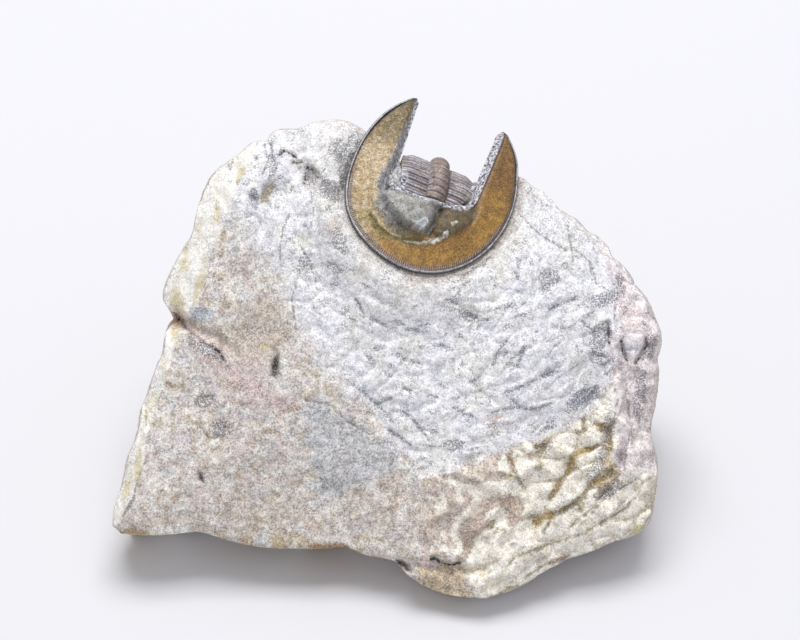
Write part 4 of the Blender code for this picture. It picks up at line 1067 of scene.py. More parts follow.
STROKES = ways(  # the tool's longer strokes
    ((398, 354), (404, 359), (418, 363)), ((406, 330), (414, 329), (419, 332), (428, 333)),
    ((459, 312), (468, 315), (476, 319), (488, 320)), ((478, 329), (481, 325)),
    ((507, 342), (500, 348), (497, 357), (493, 365)), ((508, 352), (504, 355)),
    ((524, 348), (522, 355), (519, 361)), ((558, 343), (551, 350), (547, 357)),
    ((576, 299), (564, 303), (550, 309)), ((505, 393), (516, 389), (540, 378), (557, 372)),
    ((507, 396), (513, 401)), ((492, 413), (500, 410), (517, 408), (535, 409), (551, 404)),
    ((455, 408), (463, 413), (476, 419)), ((402, 411), (412, 418), (430, 441)),
    ((404, 388), (411, 392)), ((427, 395), (436, 397)), ((371, 318), (385, 326)),
    ((546, 271), (550, 277), (553, 282)), ((513, 271), (519, 277)), ((391, 398), (377, 404)),
    ((352, 384), (372, 400), (392, 421)), ((390, 430), (410, 445)), ((356, 300), (363, 312)),
    ((440, 345), (452, 349)), ((447, 300), (457, 304)), ((583, 322), (594, 333)),
)
CRACKS = ways(  # open cracks, painted dark as the shade in them
    ((177, 318), (182, 321), (185, 327)), ((215, 349), (220, 353), (224, 362)),
    ((280, 155), (284, 151), (293, 155), (296, 159), (293, 163)), ((294, 163), (301, 162)),
    ((308, 167), (306, 175), (304, 184)), ((311, 168), (316, 173), (318, 177)),
    ((431, 559), (435, 558), (440, 562), (446, 564), (453, 565), (460, 563)),
    ((621, 341), (623, 351), (627, 361)), ((646, 337), (647, 345), (642, 354), (636, 363)),
    ((608, 322), (609, 345)), ((396, 562), (402, 564)), ((400, 567), (411, 571)),
    ((200, 474), (201, 478), (203, 482)),
)
FAINT = ways(  # fine cracks
    ((602, 501), (622, 488), (638, 478), (643, 482), (637, 497), (618, 512), (598, 524)),
    ((289, 215), (283, 230), (280, 250), (280, 267)), ((311, 193), (313, 212), (311, 227)),
    ((297, 240), (310, 262), (318, 290)), ((300, 270), (292, 300), (296, 332)),
    ((200, 426), (209, 438), (224, 437)),
    ((594, 268), (596, 284), (609, 291), (616, 304), (614, 320)),
    ((624, 276), (620, 287), (624, 298)), ((614, 386), (618, 400), (612, 425), (606, 440)),
    ((644, 312), (653, 316), (661, 335)), ((305, 400), (330, 405), (345, 420), (372, 436)),
    ((626, 380), (630, 430), (624, 470)), ((520, 215), (540, 235), (566, 250)),
    ((566, 215), (570, 240), (573, 262)), ((262, 128), (268, 160), (262, 178)),
    ((145, 392), (146, 426)), ((147, 458), (138, 478), (133, 500), (123, 516)),
    ((575, 250), (590, 262), (592, 280)), ((270, 140), (276, 170)),
)
HOLLOWS = [  # middle in picture pixels, half sizes in mm, heading in degrees, depth, and darkness, which is painted shade
    ((311, 178), 2.1, 1.2, -80, 0.8, 0.45), ((267, 191), 2.1, 0.9, 65, 0.6, 0.3),
    ((275.5, 366), 2.1, 0.7, 84, 0.9, 1.4), ((201, 478), 0.8, 0.4, -75, 0.6, 0.9),
    ((403, 566), 1.5, 0.6, -25, 0.9, 1.1), ((598, 341), 2.2, 1.5, 60, 0.3, 0.1),
    ((624, 350), 1.7, 0.35, -75, 0.5, 0.5), ((643, 351), 2.2, 0.6, 70, 0.4, 0.3),
    ((221, 427), 1.8, 1.0, 80, 0.4, 0.4), ((177, 315), 0.8, 0.6, -30, 0.9, 0.9),
    ((200, 339), 2.9, 0.4, -37, 0.4, 0.2),
    ((254, 198), 0.9, 1.6, 10, 0.4, 0.45), ((331, 191), 2.6, 1.3, -42, 0.2, 0.25),
    ((585, 397), 2.8, 1.2, 32, 0.35, 0.35), ((469, 316), 1.5, 0.7, -20, 0.2, 0.25),
    ((513, 546), 0.8, 0.7, 0, 0.4, 0.5), ((244, 407), 1.0, 0.7, 0, 0.3, 0.3),
    ((341, 160), 1.4, 1.0, 0, 0.3, 0.3), ((609, 491), 2.3, 0.9, 30, 0.5, 0.3),
    ((606, 436), 2.5, 0.8, 80, 0.4, 0.2),
]
CRUMBLY = [  # where the surface is broken into dark crumbs: middle, half sizes in mm, heading
    ((600, 337), 2.6, 1.5, 60), ((597, 356), 1.2, 1.1, 0), ((329, 190), 2.6, 1.5, -42),
    ((650, 345), 2.0, 0.9, 75), ((254, 199), 0.8, 1.8, 10), ((469, 316), 1.7, 0.8, -20),
    ((583, 398), 3.4, 1.2, 30), ((609, 491), 2.6, 1.1, 30), ((621, 287), 1.8, 0.6, -75),
    ((349, 158), 4.6, 1.0, 72), ((338, 150), 1.6, 1.6, 0), ((311, 179), 1.9, 1.1, -80),
    ((603, 300), 2.4, 1.0, 20), ((552, 277), 1.4, 1.4, 0), ((425, 250), 3.4, 0.7, -12),
    ((338, 238), 1.1, 1.8, 20), ((336, 268), 0.9, 0.6, -50), ((272, 165), 0.8, 2.0, 0),
    ((596, 468), 2.4, 0.8, 60), ((545, 446), 1.4, 1.0, 40), ((607, 432), 2.6, 0.9, 80),
    ((205, 350), 3.0, 1.0, -30), ((205, 400), 1.6, 1.0, 10), ((222, 428), 1.8, 1.4, 0),
    ((455, 445), 1.6, 1.0, 0), ((640, 395), 3.6, 1.0, 85), ((303, 263), 0.9, 1.4, -30),
]
# border of the white calcite at the left, from the bottom up
CALCITE = seen((100, 560), (116, 529), (123, 515), (138, 492), (146, 460), (147, 437), (152, 419),
           (164, 392), (175, 352), (186, 318), (197, 300), (207, 273), (211, 250), (223, 230),
           (228, 203), (242, 181), (257, 151), (268, 132))
PINK_VEIN = seen((200, 345), (223, 366), (246, 383), (267, 401), (292, 404))
GREY_PATCH = seen((305, 400), (345, 415), (400, 452), (388, 470), (350, 492), (318, 492),
                  (306, 440))
NOTCH_GROOVE = seen((184, 326), (196, 336), (206, 345), (216, 350))


# ---- fields of the face ----
def seen_at(points):
    """Where points show in the picture: mm across and up."""
    u, v, w = world_to_face(points).T
    scale = VIEW / (VIEW - w)
    return u * scale, v * scale


def nearest(a, b, lines):
    return np.minimum.reduce([segment_distance(a, b, line) for line in lines])


def band_depth(a, b, table):
    """How far inside bands, each a half width and the way it runs: mm, negative outside."""
    return np.maximum.reduce([wide - segment_distance(a, b, way) for wide, way in table])


def depth_inside(a, b, outline):
    """Distance inside a closed outline, negative outside it."""
    line = outline + outline[:1]
    inside = np.zeros(len(a), bool)
    for (x0, y0), (x1, y1) in zip(line[:-1], line[1:]):
        if y0 != y1:
            inside ^= ((y0 > b) != (y1 > b)) & (a < x0 + (x1 - x0) * (b - y0) / (y1 - y0))
    return np.where(inside, 1, -1) * segment_distance(a, b, line)


def turned(a, b, at, half, heading):
    """Distance from the middle of an oval, a place of the photograph: 1 on its edge."""
    (mid_a, mid_b), = seen(at)
    c, s = math.cos(math.radians(heading)), math.sin(math.radians(heading))
    da, db = a - mid_a, b - mid_b
    return np.hypot((da * c + db * s) / half[0], (db * c - da * s) / half[1])


def hollow_field(a, b, points):
    """Depth of the hollows, mm, and how dark they are painted, as painted shade."""
    wobble = 0.5 * fine(points, 1.0, 52) + 0.35 * fine(points, 0.5, 174)
    depth, dark = np.zeros(len(a)), np.zeros(len(a))
    for at, long, wide, heading, deep, shade in HOLLOWS:
        d = np.clip(turned(a, b, at, (long, wide), heading) + wobble, 0, 9)
        depth = np.maximum(depth, deep * np.exp(-(d**2.5)))
        dark = np.maximum(dark, shade * np.exp(-(d**3)))
    return depth, dark


def flake_field(a, b, points):
    """Noise drawn out along circles round the fossil: zero along the edges of the tool's flakes."""
    (mid_a, mid_b), = seen(WORK_CENTRE)
    far, turn = np.hypot(a - mid_a, b - mid_b), np.arctan2(b - mid_b, a - mid_a)
    flat = np.zeros(len(a))
    place = np.column_stack((far / FLAKE_WIDTH, turn * FLAKE_REACH / FLAKE_LENGTH, flat))
    place += 0.6 * np.column_stack((fine(points, 3.0, 101), fine(points, 3.0, 102), flat))
    return fine(place, 1.0, 103) + 0.35 * fine(place, 0.45, 104)


def plate_field(a, b, points):
    """How far inside a plate of cream burrow fill: mm, negative in the lines and hollows between.

    Then the same for the fill as a whole, the distance from the nearest ochre spot, and how far
    inside an olive seam.
    """
    wobble = 0.30 * fine(points, 1.3, 58) + 0.22 * fine(points, 0.7, 59)
    fill = depth_inside(a, b, CREAM) + wobble
    for hollow in TAN_HOLLOWS:
        fill = np.minimum(fill, wobble - depth_inside(a, b, hollow))
    ochre = np.min([np.hypot(a - x, b - y) for x, y in OCHRE], axis=0)
    ochre += 1.2 * fine(points, 1.0, 160)
    spots = np.array([(1 - turned(a, b, at, (long, wide), heading)) * wide
                      for at, long, wide, heading in PETALS])
    spots += 0.55 * fine(points, 1.6, 151) + 0.40 * fine(points, 0.7, 164)
    spots.partition(len(spots) - 2, axis=0)
    best, second = spots[-1], spots[-2]
    apart = 0.6 * (best - second) + 0.30 * fine(points, 2.2, 163)
    plate = np.minimum.reduce((fill, apart, best + 0.75)) - 0.5 * bell(ochre, 1.7)
    worm = band_depth(a, b, WORMS) + 0.9 * wobble
    seam = band_depth(a, b, SEAMS) + 0.8 * wobble + 0.5 * fine(points, 0.6, 196)
    return np.maximum(plate, np.minimum(worm, 0.10)), fill, ochre, seam


def regions(points, normals):
    """Shares of the kinds of surface, and the fields that relief and colour share."""
    a, b = seen_at(points)
    u, v, w = world_to_face(points).T
    local = world_to_fossil(points)
    facing = normals @ W
    front = smooth((facing - 0.30) / 0.35)
    # the lower limit of the worked part is crisp at the right, and fades over the left of the face
    under, uneven = below_worked(u, v), fine(points, 6.0, 53)
    left = smooth((-2.0 - u) / 9.0)
    ragged = under + (2.0 + 4.0 * left) * uneven + (1.2 + 2.0 * left) * fine(points, 2.2, 54)
    worked = front * smooth(0.5 - ragged / (1.6 + 10.0 * left))
    calcite_a, calcite_b = np.array(CALCITE).T
    calcite = np.interp(b, calcite_b, calcite_a) - a + 1.0 * fine(points, 4.0, 55)
    calcite = front * smooth((calcite + 0.5 * fine(points, 1.5, 57)) / 0.6)
    lumpy = under + 1.8 * fine(points, 2.5, 105) + 1.6 * uneven
    lumpy = front * smooth((lumpy - 0.1) / 0.8) * smooth((a - 2.5) / 3.0)
    plate, fill, ochre, seam = plate_field(a, b, points)
    wavy = 0.4 * np.abs(fine(points, 1.1, 58))
    depth, dark = hollow_field(a, b, points)
    crumbly = np.min([(turned(a, b, at, (long, wide), heading) - 1) * wide
                      for at, long, wide, heading in CRUMBLY], axis=0)
    crumbly += 0.8 * fine(points, 1.4, 175)
    return SimpleNamespace(
        a=a, b=b, w=w, local=local, away=(rim_share(local) - 1) * RIM_TO_MM, facing=facing,
        front=front, worked=worked, calcite=calcite, lumpy=lumpy, plate=plate, ochre=ochre,
        fill=smooth((fill + 0.2) / 0.4) * lumpy, seam=smooth(seam / 0.4 + 0.6) * lumpy,
        hollow=depth * front, dark=dark * front,
        crack=nearest(a, b, CRACKS) + 0.6 * wavy, stroke=nearest(a, b, STROKES) + 1.2 * wavy,
        faint=nearest(a, b, FAINT) + 0.5 * wavy, crumbly=crumbly, flake=flake_field(a, b, points))


# ---- relief of the fine block ----
def nicked(turn, edge, points):
    """The outline with the photograph's small nicks and bumps, and the roughness between them."""
    for direction, wide, high in NICKS:
        apart = (np.degrees(turn) - direction + 180) % 360 - 180
        edge += high * bell(apart, wide)
    edge += 0.35 * fine(points, 1.6, 110) + 0.3 * fine(points, 3.6, 111)
    return edge


def add_relief(obj):
    points, normals = points_of(obj), normals_of(obj)
    r = regions(points, normals)
    away, rough, wall = r.away, 1 - r.worked, 1 - r.front
    lift = 0.15 * fine(points, 2.4, 61) * (0.6 + rough)
    lift += 0.13 * fine(points, 1.25, 62) * (0.5 + rough)
    lift += 0.10 * fine(points, 0.7, 63) * (0.7 + 0.6 * rough)
    # the preparator's marks: overlapping flakes, each a small step down, and longer strokes
    lift += r.worked * 0.20 * smooth(r.flake * 3.0 + 0.5)
    lift -= 0.22 * r.worked * bell(r.stroke, 0.35)
    for field, deep in ((r.crack, 0.60), (r.faint, 0.22)):
        lift -= deep * r.front * bell(field, 0.32)
    lift -= r.hollow
    lift -= 0.12 * r.front * smooth(0.4 - r.crumbly) * (1 + 2.5 * fine(points, 0.6, 176))
    # plates of burrow fill at the lower right, flat-topped, with narrow grooves between
    plate = smooth(r.plate / 0.35)
    lift += r.lumpy * (0.34 * plate - 0.15)
    lift += 0.2 * r.lumpy * plate * fine(points, 3.4, 69) - 0.14 * r.seam
    # fibres of the calcite edge
    lift += 0.16 * r.calcite * fine(points, 1.1, 66, (1.0, 3.0, 3.0))
    # flaky bedding in the walls
    part = steps(r.w + 1.2 * fine(points, 9.0, 67), FLAKY_BED)
    patch = smooth(fine(points, 6.0, 68) * 2.5 + 0.4)
    lift += wall * patch * 0.26 * (smooth(part / 0.3) - part)
    # calmer under the fossil, with a worn moat right outside the rim
    calm = np.where(under_body(r.local, 1.2, -5), 0.25, 1.0)
    lift *= calm * (0.15 + 0.85 * smooth((away + 0.2) / 0.8))
    lift -= 0.25 * r.front * bell(away - 0.25, 0.24) * (r.local[:, 2] > -3) * (r.local[:, 1] < 8)
    moved = points + normals * lift[:, None]
    far, turn, edge = against_outline(moved)
    moved = draw_in(moved, far, np.maximum(far - nicked(turn, edge, moved), 0.0) * 0.92)
    # nothing of the stone shows through the head shield
    local = world_to_fossil(moved)
    x, y, z = local.T
    spared = (np.abs(x) < SPARED_HALF) & (y > SPARED_FROM)
    covered = (rim_share(local) < SHIELD_SHARE) & ~spared & (z > SHIELD_BED) & (z < SHIELD_TOP)
    high = np.where(covered, z - SHIELD_BED, 0.0)
    put_points(obj, moved - FOSSIL_AXES[2] * high[:, None])


# ---- colour of the fine block ----
def oval(paint, r, at, half, heading, ragged, seed, size=3.0):
    """1 inside an oval of the picture, fading over its uneven edge."""
    d = turned(r.a, r.b, at, half, heading) + ragged * fine(paint.points, size, seed)
    return r.front * smooth((1.08 - d) / 0.4)


def paint_spots(paint, r, *spots):
    """Single spots: place, half sizes in mm, heading, raggedness, its seed and size, and coats."""
    for *where, coats in spots:
        paint.area(oval(paint, r, *where), *coats)


def paint_skin(paint, r):
    """The natural skin of the front, tan and granular, and what lies on it."""
    a, b, points = r.a, r.b, paint.points
    skin = Paint(points, (222, 215, 208), (1.0, (192, 177, 158), 1.6, 76, 2.4, -0.2),
                 (0.6, (212, 196, 194), 6.0, 77, 2.6, -0.3),
                 (0.8, (234, 232, 226), 2.2, 78, 2.8, -0.4),
                 (0.5, (184, 184, 194), 2.6, 152, 2.8, -0.5))
    paint.lay(r.front, skin.tint)
    paint_spots(paint, r, ((262, 330), (9.5, 6.0), 25, 0.6, 120, 4.0, [(0.5, (184, 167, 146))]),
                ((256, 262), (5.0, 2.4), 10, 0.6, 153, 4.0, [(0.4, (190, 174, 166))]))
    low = r.front * smooth((-26.0 - b) / 8.0) * (a < 12)
    paint.area(low, (0.4, (188, 166, 144), 4.0, 121, 2.0),
               (0.5, (236, 232, 222), 1.2, 192, 3.0, -0.6))
    lower_left = r.front * smooth((-14.0 - a) / 8.0) * smooth((6.0 - b) / 6.0)
    paint.area(lower_left, (0.12, (168, 152, 142)))
    pink = bell(segment_distance(a, b, PINK_VEIN), 1.4) * (0.7 + fine(points, 1.5, 122))
    paint.area(r.front * pink, (0.85, (194, 166, 165)))
    paint_spots(paint, r, ((240, 375), (10.0, 5.0), -35, 0.5, 123, 4.0, [(0.4, (206, 188, 186))]))
    grey = depth_inside(a, b, GREY_PATCH)
    grey += 2.4 * fine(points, 3.0, 79) + 1.6 * fine(points, 1.2, 191)
    paint.area(r.front * smooth(grey / 3.0 + 0.5), (0.6, (186, 189, 196)),
               (0.5, (150, 152, 158), 0.7, 190, 3.0, -0.5))
    paint_spots(paint, r, ((201, 313), (2.2, 1.7), 0, 0.5, 80, 1.5, [(0.8, (174, 180, 192))]),
                ((263, 346), (1.2, 0.6), 0, 0.6, 154, 0.8, [(0.7, (226, 213, 164))]))


def paint_worked(paint, r):
    """The face that the preparator worked, bluish white."""
    fresh = Paint(paint.points, (243, 242, 245), (0.7, (218, 219, 228), 2.2, 81, 2.0, -0.15),
                  (0.6, (232, 229, 222), 4.2, 82, 2.4, -0.2),
                  (0.5, (204, 196, 190), 1.4, 83, 3.0, -1.1),
                  (0.4, (194, 196, 208), 1.0, 84, 3.0, -0.9))
    paint.lay(r.worked, fresh.tint)
    paint.area(r.worked * smooth((r.a - 18.0) / 8.0), (0.25, (208, 208, 214)))
    # painted shade: the low side of each of the tool's flakes a little grey-blue
    paint.area(r.worked * smooth(-r.flake * 3.0 - 0.1), (0.16, (200, 202, 214)))
    paint.area(r.worked * bell(r.stroke, 0.5), (0.45, (160, 162, 176)))
    paint_spots(paint, r, ((495, 422), (2.4, 1.6), -20, 0.3, 149, 3.0,
                           [(0.6, (222, 180, 160), 0.8, 124, 3.0)]),
                ((582, 399), (3.6, 1.6), 30, 0.4, 155, 1.6, [(0.5, (176, 178, 196))]))


def paint_upper_left(paint, r):
    """Streaked up and down, with pale chips and dark crevices."""
    upper = r.front * smooth((-8.0 - r.a) / 4.0) * smooth((r.b - 6.0) / 6.0)
    paint.area(upper, (0.45, (190, 190, 198), 1.4, 125, 3.0, -0.4, (1, 3.2, 3.2)),
               (0.5, (235, 233, 228), 1.4, 125, -3.0, -0.6, (1, 3.2, 3.2)))
    paint_spots(paint, r, ((301, 242), (1.9, 1.7), 0, 0.4, 156, 1.0, [(0.7, (236, 233, 224))]),
                ((278, 236), (0.9, 2.4), 8, 0.4, 157, 1.0, [(0.6, (236, 234, 230))]),
                ((267, 193), (1.0, 2.4), -20, 1.1, 126, 1.0, [(0.8, (150, 136, 104))]),
                ((333, 228), (1.6, 2.0), 0, 0.5, 127, 1.0, [(0.5, (178, 158, 148))]),
                ((332, 192), (2.6, 1.3), -40, 0.5, 158, 1.0, [(0.6, (150, 144, 118))]))


def paint_halo(paint, r):
    """The stone round the rim: brown on the right and below, painted shadow at the rim's foot, and
    painted shadow under the raised rim at the upper left.
    """
    points, (x, _, z), away = paint.points, r.local.T, r.away
    near = r.front * (z > -6) * bell(away.clip(0), 4.5)
    paint.area(near, (0.5, (212, 208, 200)), (0.5, (190, 180, 168), 1.6, 189, 2.6, -0.5))
    halo = smooth((1.8 - away + 1.4 * fine(points, 1.4, 85)) / 1.4) * (away > -0.5)
    halo *= r.front * (z > -4) * (0.3 + 0.4 * smooth((x + 4) / 8))
    paint.area(halo, (1.0, (174, 158, 148)))
    # painted shadow: a dark line right at the foot of the rim
    paint.area(r.front * bell(away, 0.2), (0.4, (96, 88, 86)))
    # painted shadow: a dark olive band where the raised rim stands over the stone at the upper
    # left, with pale crumbs in it
    paint_spots(paint, r, ((347, 171), (5.0, 0.9), 70, 0.6, 165, 1.2,
                           [(0.9, (60, 62, 48)), (0.6, (196, 196, 186), 0.6, 166, 4.0, -0.9)]))


def paint_calcite(paint, r):
    """The white fibrous edge at the left."""
    white = Paint(paint.points, (240, 237, 231),
                  (1.0, (218, 206, 174), 2.0, 86, 2.6, -0.3, (0.8, 3, 3)),
                  (0.8, (247, 245, 242), 2.4, 87, 2.4, -0.4),
                  (0.55, (204, 184, 140), 1.3, 128, 3.0, -1.4, (0.7, 3, 3)))
    paint.lay(r.calcite, white.tint)


def paint_burrows(paint, r):
    """The lower right: tan, cream plates, and ochre and olive lines between them."""
    a, b, points = r.a, r.b, paint.points
    paint.area(r.lumpy, (0.85, (198, 181, 166)), (0.7, (202, 188, 182), 2.6, 88),
               (0.8, (230, 224, 212), 1.6, 177, 3.0, -0.7))
    hollows = np.max([depth_inside(a, b, hollow) for hollow in TAN_HOLLOWS], axis=0)
    paint.area(r.lumpy * smooth((0.3 + hollows) / 0.5), (0.7, (176, 156, 140)))
    paint.area(r.fill, (1.0, (180, 162, 130)), (0.7, (208, 198, 180), 1.1, 159))
    cream = Paint(points, (246, 240, 227), (0.7, (230, 221, 203), 2.2, 89),
                  (0.7, (249, 246, 239), 1.5, 129, 2.8, -0.3),
                  (0.4, (206, 204, 206), 1.0, 188, 3.0, -1.0))
    paint.lay(cream_share(r), cream.tint)
    paint.area(r.seam, (0.8, (156, 142, 108)), (0.6, (118, 104, 76), 0.7, 193, 3.0, -0.4))
    paint.area(r.seam * smooth((2.0 - r.ochre) / 0.8), (0.6, (164, 132, 66)))
    bottom = smooth((-43.6 - b) / 0.6) * (a > 3) * (a < 18)
    paint.area(bottom * smooth((14.0 - a) / 4.0 + fine(points, 1.6, 90)), (0.7, (180, 160, 128)))
    paint_spots(paint, r, ((431, 564), (2.0, 0.7), 0, 0.2, 161, 3.0, [(0.7, (222, 206, 216))]),
                ((558, 560), (2.6, 0.5), 22, 0.4, 185, 1.0, [(0.8, (112, 82, 66))]))


def cream_share(r):
    return smooth((r.plate + 0.12) / 0.15) * r.lumpy


def paint_facet(paint, r):
    """The right facet: pinkish, with lengthwise streaks."""
    a, b, points = r.a, r.b, paint.points
    verge = 37.8 - 0.28 * np.maximum(b - 6.0, 0.0)
    facet = (a - verge + 2.6 * fine(points, 5.0, 91) + 1.2 * fine(points, 1.8, 178)) / 1.6
    facet = r.front * smooth(facet) * smooth((b + 29) / 3.0)
    rose = Paint(points, (240, 231, 234), (0.8, (196, 186, 189), 1.4, 92, 3.0, -0.3, (1, 4, 4)),
                 (0.6, (231, 214, 213), 4.0, 131, 2.5, -0.3))
    paint.lay(0.85 * facet, rose.tint)
    paint_spots(paint, r, ((622, 450), (1.0, 3.6), -20, 0.7, 132, 1.2, [(0.5, (150, 134, 142))]),
                ((632, 318), (2.0, 2.6), 0, 0.6, 179, 2.0, [(0.6, (242, 224, 222))]),
                ((632, 348), (2.0, 2.0), 0, 0.5, 180, 1.6, [(0.4, (216, 218, 230))]),
                ((602, 318), (2.2, 0.7), 40, 0.4, 181, 1.2, [(0.7, (244, 243, 242))]),
                ((614, 402), (1.2, 3.2), -10, 0.4, 182, 1.2, [(0.7, (240, 236, 234))]))
    paint.area(smooth((a - 44.0) / 1.0) * r.front, (0.5, (168, 150, 134), 3.0, 133, 2.5, -0.2))
    paint_spots(paint, r, ((640, 530), (1.6, 1.3), 0, 0.2, 150, 3.0, [(0.8, (176, 166, 108))]),
                ((130, 505), (2.0, 0.5), 60, 0.4, 199, 1.0, [(0.7, (118, 122, 132))]))


def paint_lip(paint, r):
    """Chalky and ochre stretches of the lower lip, round the edge of the face."""
    a, b = r.a, r.b
    lip = smooth((-37.6 - b) / 1.2) * smooth((-3.0 - a) / 2.0)
    paint.area(lip, (0.6, (186, 162, 112), 2.4, 93, 2.5, -0.3))
    for middle, half, tone in (((168, 530), (3.8, 0.9), (248, 246, 241)),
                               ((328, 547), (3.4, 0.7), (150, 114, 62)),
                               ((132, 532), (3.0, 0.6), (176, 150, 104))):
        edge = turned(a, b, middle, half, 0) + 0.8 * fine(paint.points, 1.2, 200)
        paint.area(smooth((1.2 - edge) / 0.4) * (r.facing > -0.3), (0.85, tone))


def paint_dark_marks(paint, r):
    """The crumb-filled pocket between the prolongations, the notch, and the painted shade of
    hollows and open cracks.
    """
    a, b = r.a, r.b
    pocket = (rim_share(r.local) < 0.9) * (r.local[:, 2] > -6)
    paint.area(pocket, (0.8, (98, 100, 114), 0.5, 173, 4.0, 0.1))
    paint.area(bell(turned(a, b, (177, 320), (1.5, 1.3), -30), 1.0), (0.9, (158, 112, 66)))
    paint.area(bell(segment_distance(a, b, NOTCH_GROOVE), 0.34), (0.85, (136, 114, 120)))
    paint_spots(paint, r, ((203, 349), (2.2, 0.8), -20, 0.4, 198, 1.0, [(0.7, (240, 237, 232))]))
    # painted shade in the hollows
    paint.area(r.dark, (0.9, (72, 66, 62)))
    # painted shade: greyer round the open cracks
    paint.area(r.front * bell(r.crack, 0.5), (0.6, (132, 118, 114)))


def paint_block(obj):
    points = points_of(obj)
    r = regions(points, normals_of(obj))
    # broken walls and back
    paint = Paint(points, (206, 199, 193), (0.7, (182, 170, 153), 8.0, 71),
                  (0.6, (198, 180, 178), 11.0, 72, 2.4, -0.5),
                  (0.7, (224, 220, 212), 4.5, 73, 2.6, -0.6),
                  (0.45, (158, 138, 110), 2.4, 74, 3.2, -1.3),
                  (0.5, (160, 158, 164), 3.2, 75, 3.0, -1.1))
    for part in (paint_skin, paint_worked, paint_upper_left, paint_halo, paint_calcite,
                 paint_burrows, paint_facet, paint_lip, paint_dark_marks):
        part(paint, r)
    give(obj, "tint", paint.tint)
    speck = 0.85 + 0.3 * (r.front - r.worked).clip(0) - 0.5 * r.calcite - 0.3 * cream_share(r)
    give(obj, "zones", np.column_stack((speck, r.worked, r.front)))
    # the material draws thin lines where these three distances are small
    flake = np.abs(r.flake) * 3.0 + 1.1 * smooth(fine(points, 2.6, 162) * 4 + 0.9)
    flake += 1.5 * (1 - r.worked)
    smudge = np.minimum.reduce((r.stroke, flake, r.crumbly + 0.1))
    clip = np.column_stack((r.crack, smudge, r.faint)).clip(0, 2) / 2
    give(obj, "marks", 1 - (1 - clip) * r.front[:, None])


# ---- making the fine block ----
# stone left between the prolongations and the ends of the ribs: outline in plan, and height
FILLERS = [
    ([(-7.35, -4.4), (-6.3, -5.0), (-5.3, -4.5), (-5.45, -2.5), (-6.2, -0.4), (-7.0, 0.9),
      (-7.5, 0.6)], 2.3),
    ([(5.2, -2.6), (6.3, -1.9), (7.3, 1.0), (7.6, 4.0), (7.7, 7.5), (7.0, 7.5), (6.7, 3.0),
      (5.9, 0.2), (4.6, -2.2)], 1.7),
]


def fillers(collection):
    made = []
    for outline, top in FILLERS:
        plan = np.array(outline)
        levels = ((-8.0, 1.0), (top - 0.7, 1.0), (top, 0.85), (top + 0.25, 0.4))
        made.append(prism("filler", plan, plan.mean(axis=0), levels, collection))
    return made


def voxel(obj, size):
    fuse = obj.modifiers.new("fuse", "REMESH")
    fuse.mode, fuse.voxel_size, fuse.adaptivity = "VOXEL", size * MM, 0.0
    bake(obj)


def cut_flat(obj):
    """Takes off what is under the table, and closes the foot."""
    work = bmesh.new()
    work.from_mesh(obj.data)
    everything = list(work.verts) + list(work.edges) + list(work.faces)
    bmesh.ops.bisect_plane(work, geom=everything, plane_co=(0, 0, 0), plane_no=(0, 0, 1),
                           clear_inner=True)
    bmesh.ops.triangle_fill(work, edges=[e for e in work.edges if e.is_boundary], use_beauty=True)
    bmesh.ops.recalc_face_normals(work, faces=work.faces)
    work.to_mesh(obj.data)
    work.free()


def body_bed(s):
    """Height of the stone bed under the body, from its surface."""
    return -0.3 - 0.9 * smooth((s - 4.0) / 5.0)


def make_fine_block(collection):
    block = make_block_loft(collection)
    block.name = "fine_block"
    under = -BODY_THICKNESS - BED_DEPTH
    join_into(block, [bed_prism("bed_head", collection),
                      body_tool("bed_body", body_bed, under, 2.0, 0.0, collection)])
    voxel(block, COARSE_GRAIN)
    cutter = body_tool("clearing", 14.0, -BODY_THICKNESS - GAP, GAP + 0.05, 8.0, collection, GAP)
    cut = block.modifiers.new("clearing", "BOOLEAN")
    cut.operation, cut.solver, cut.object = "DIFFERENCE", "EXACT", cutter
    bake(block)
    bpy.data.objects.remove(cutter, do_unlink=True)
    join_into(block, fillers(collection))
    voxel(block, FINE_GRAIN)
    soften = block.modifiers.new("soften", "SMOOTH")
    soften.factor, soften.iterations = 0.5, 3
    bake(block)
    shape_block(block)
    add_relief(block)
    cut_flat(block)
    keep_largest(block)
    triangles = len(block.data.polygons)
    if triangles > MOST_TRIANGLES:
        thin = block.modifiers.new("thin", "DECIMATE")
        thin.ratio = MOST_TRIANGLES / triangles
        bake(block)
    paint_block(block)
    return block


# ---- materials ----
COLOUR_A, COLOUR_B, MIXED_COLOUR = 6, 7, 2  # where a mix node's colour sockets are


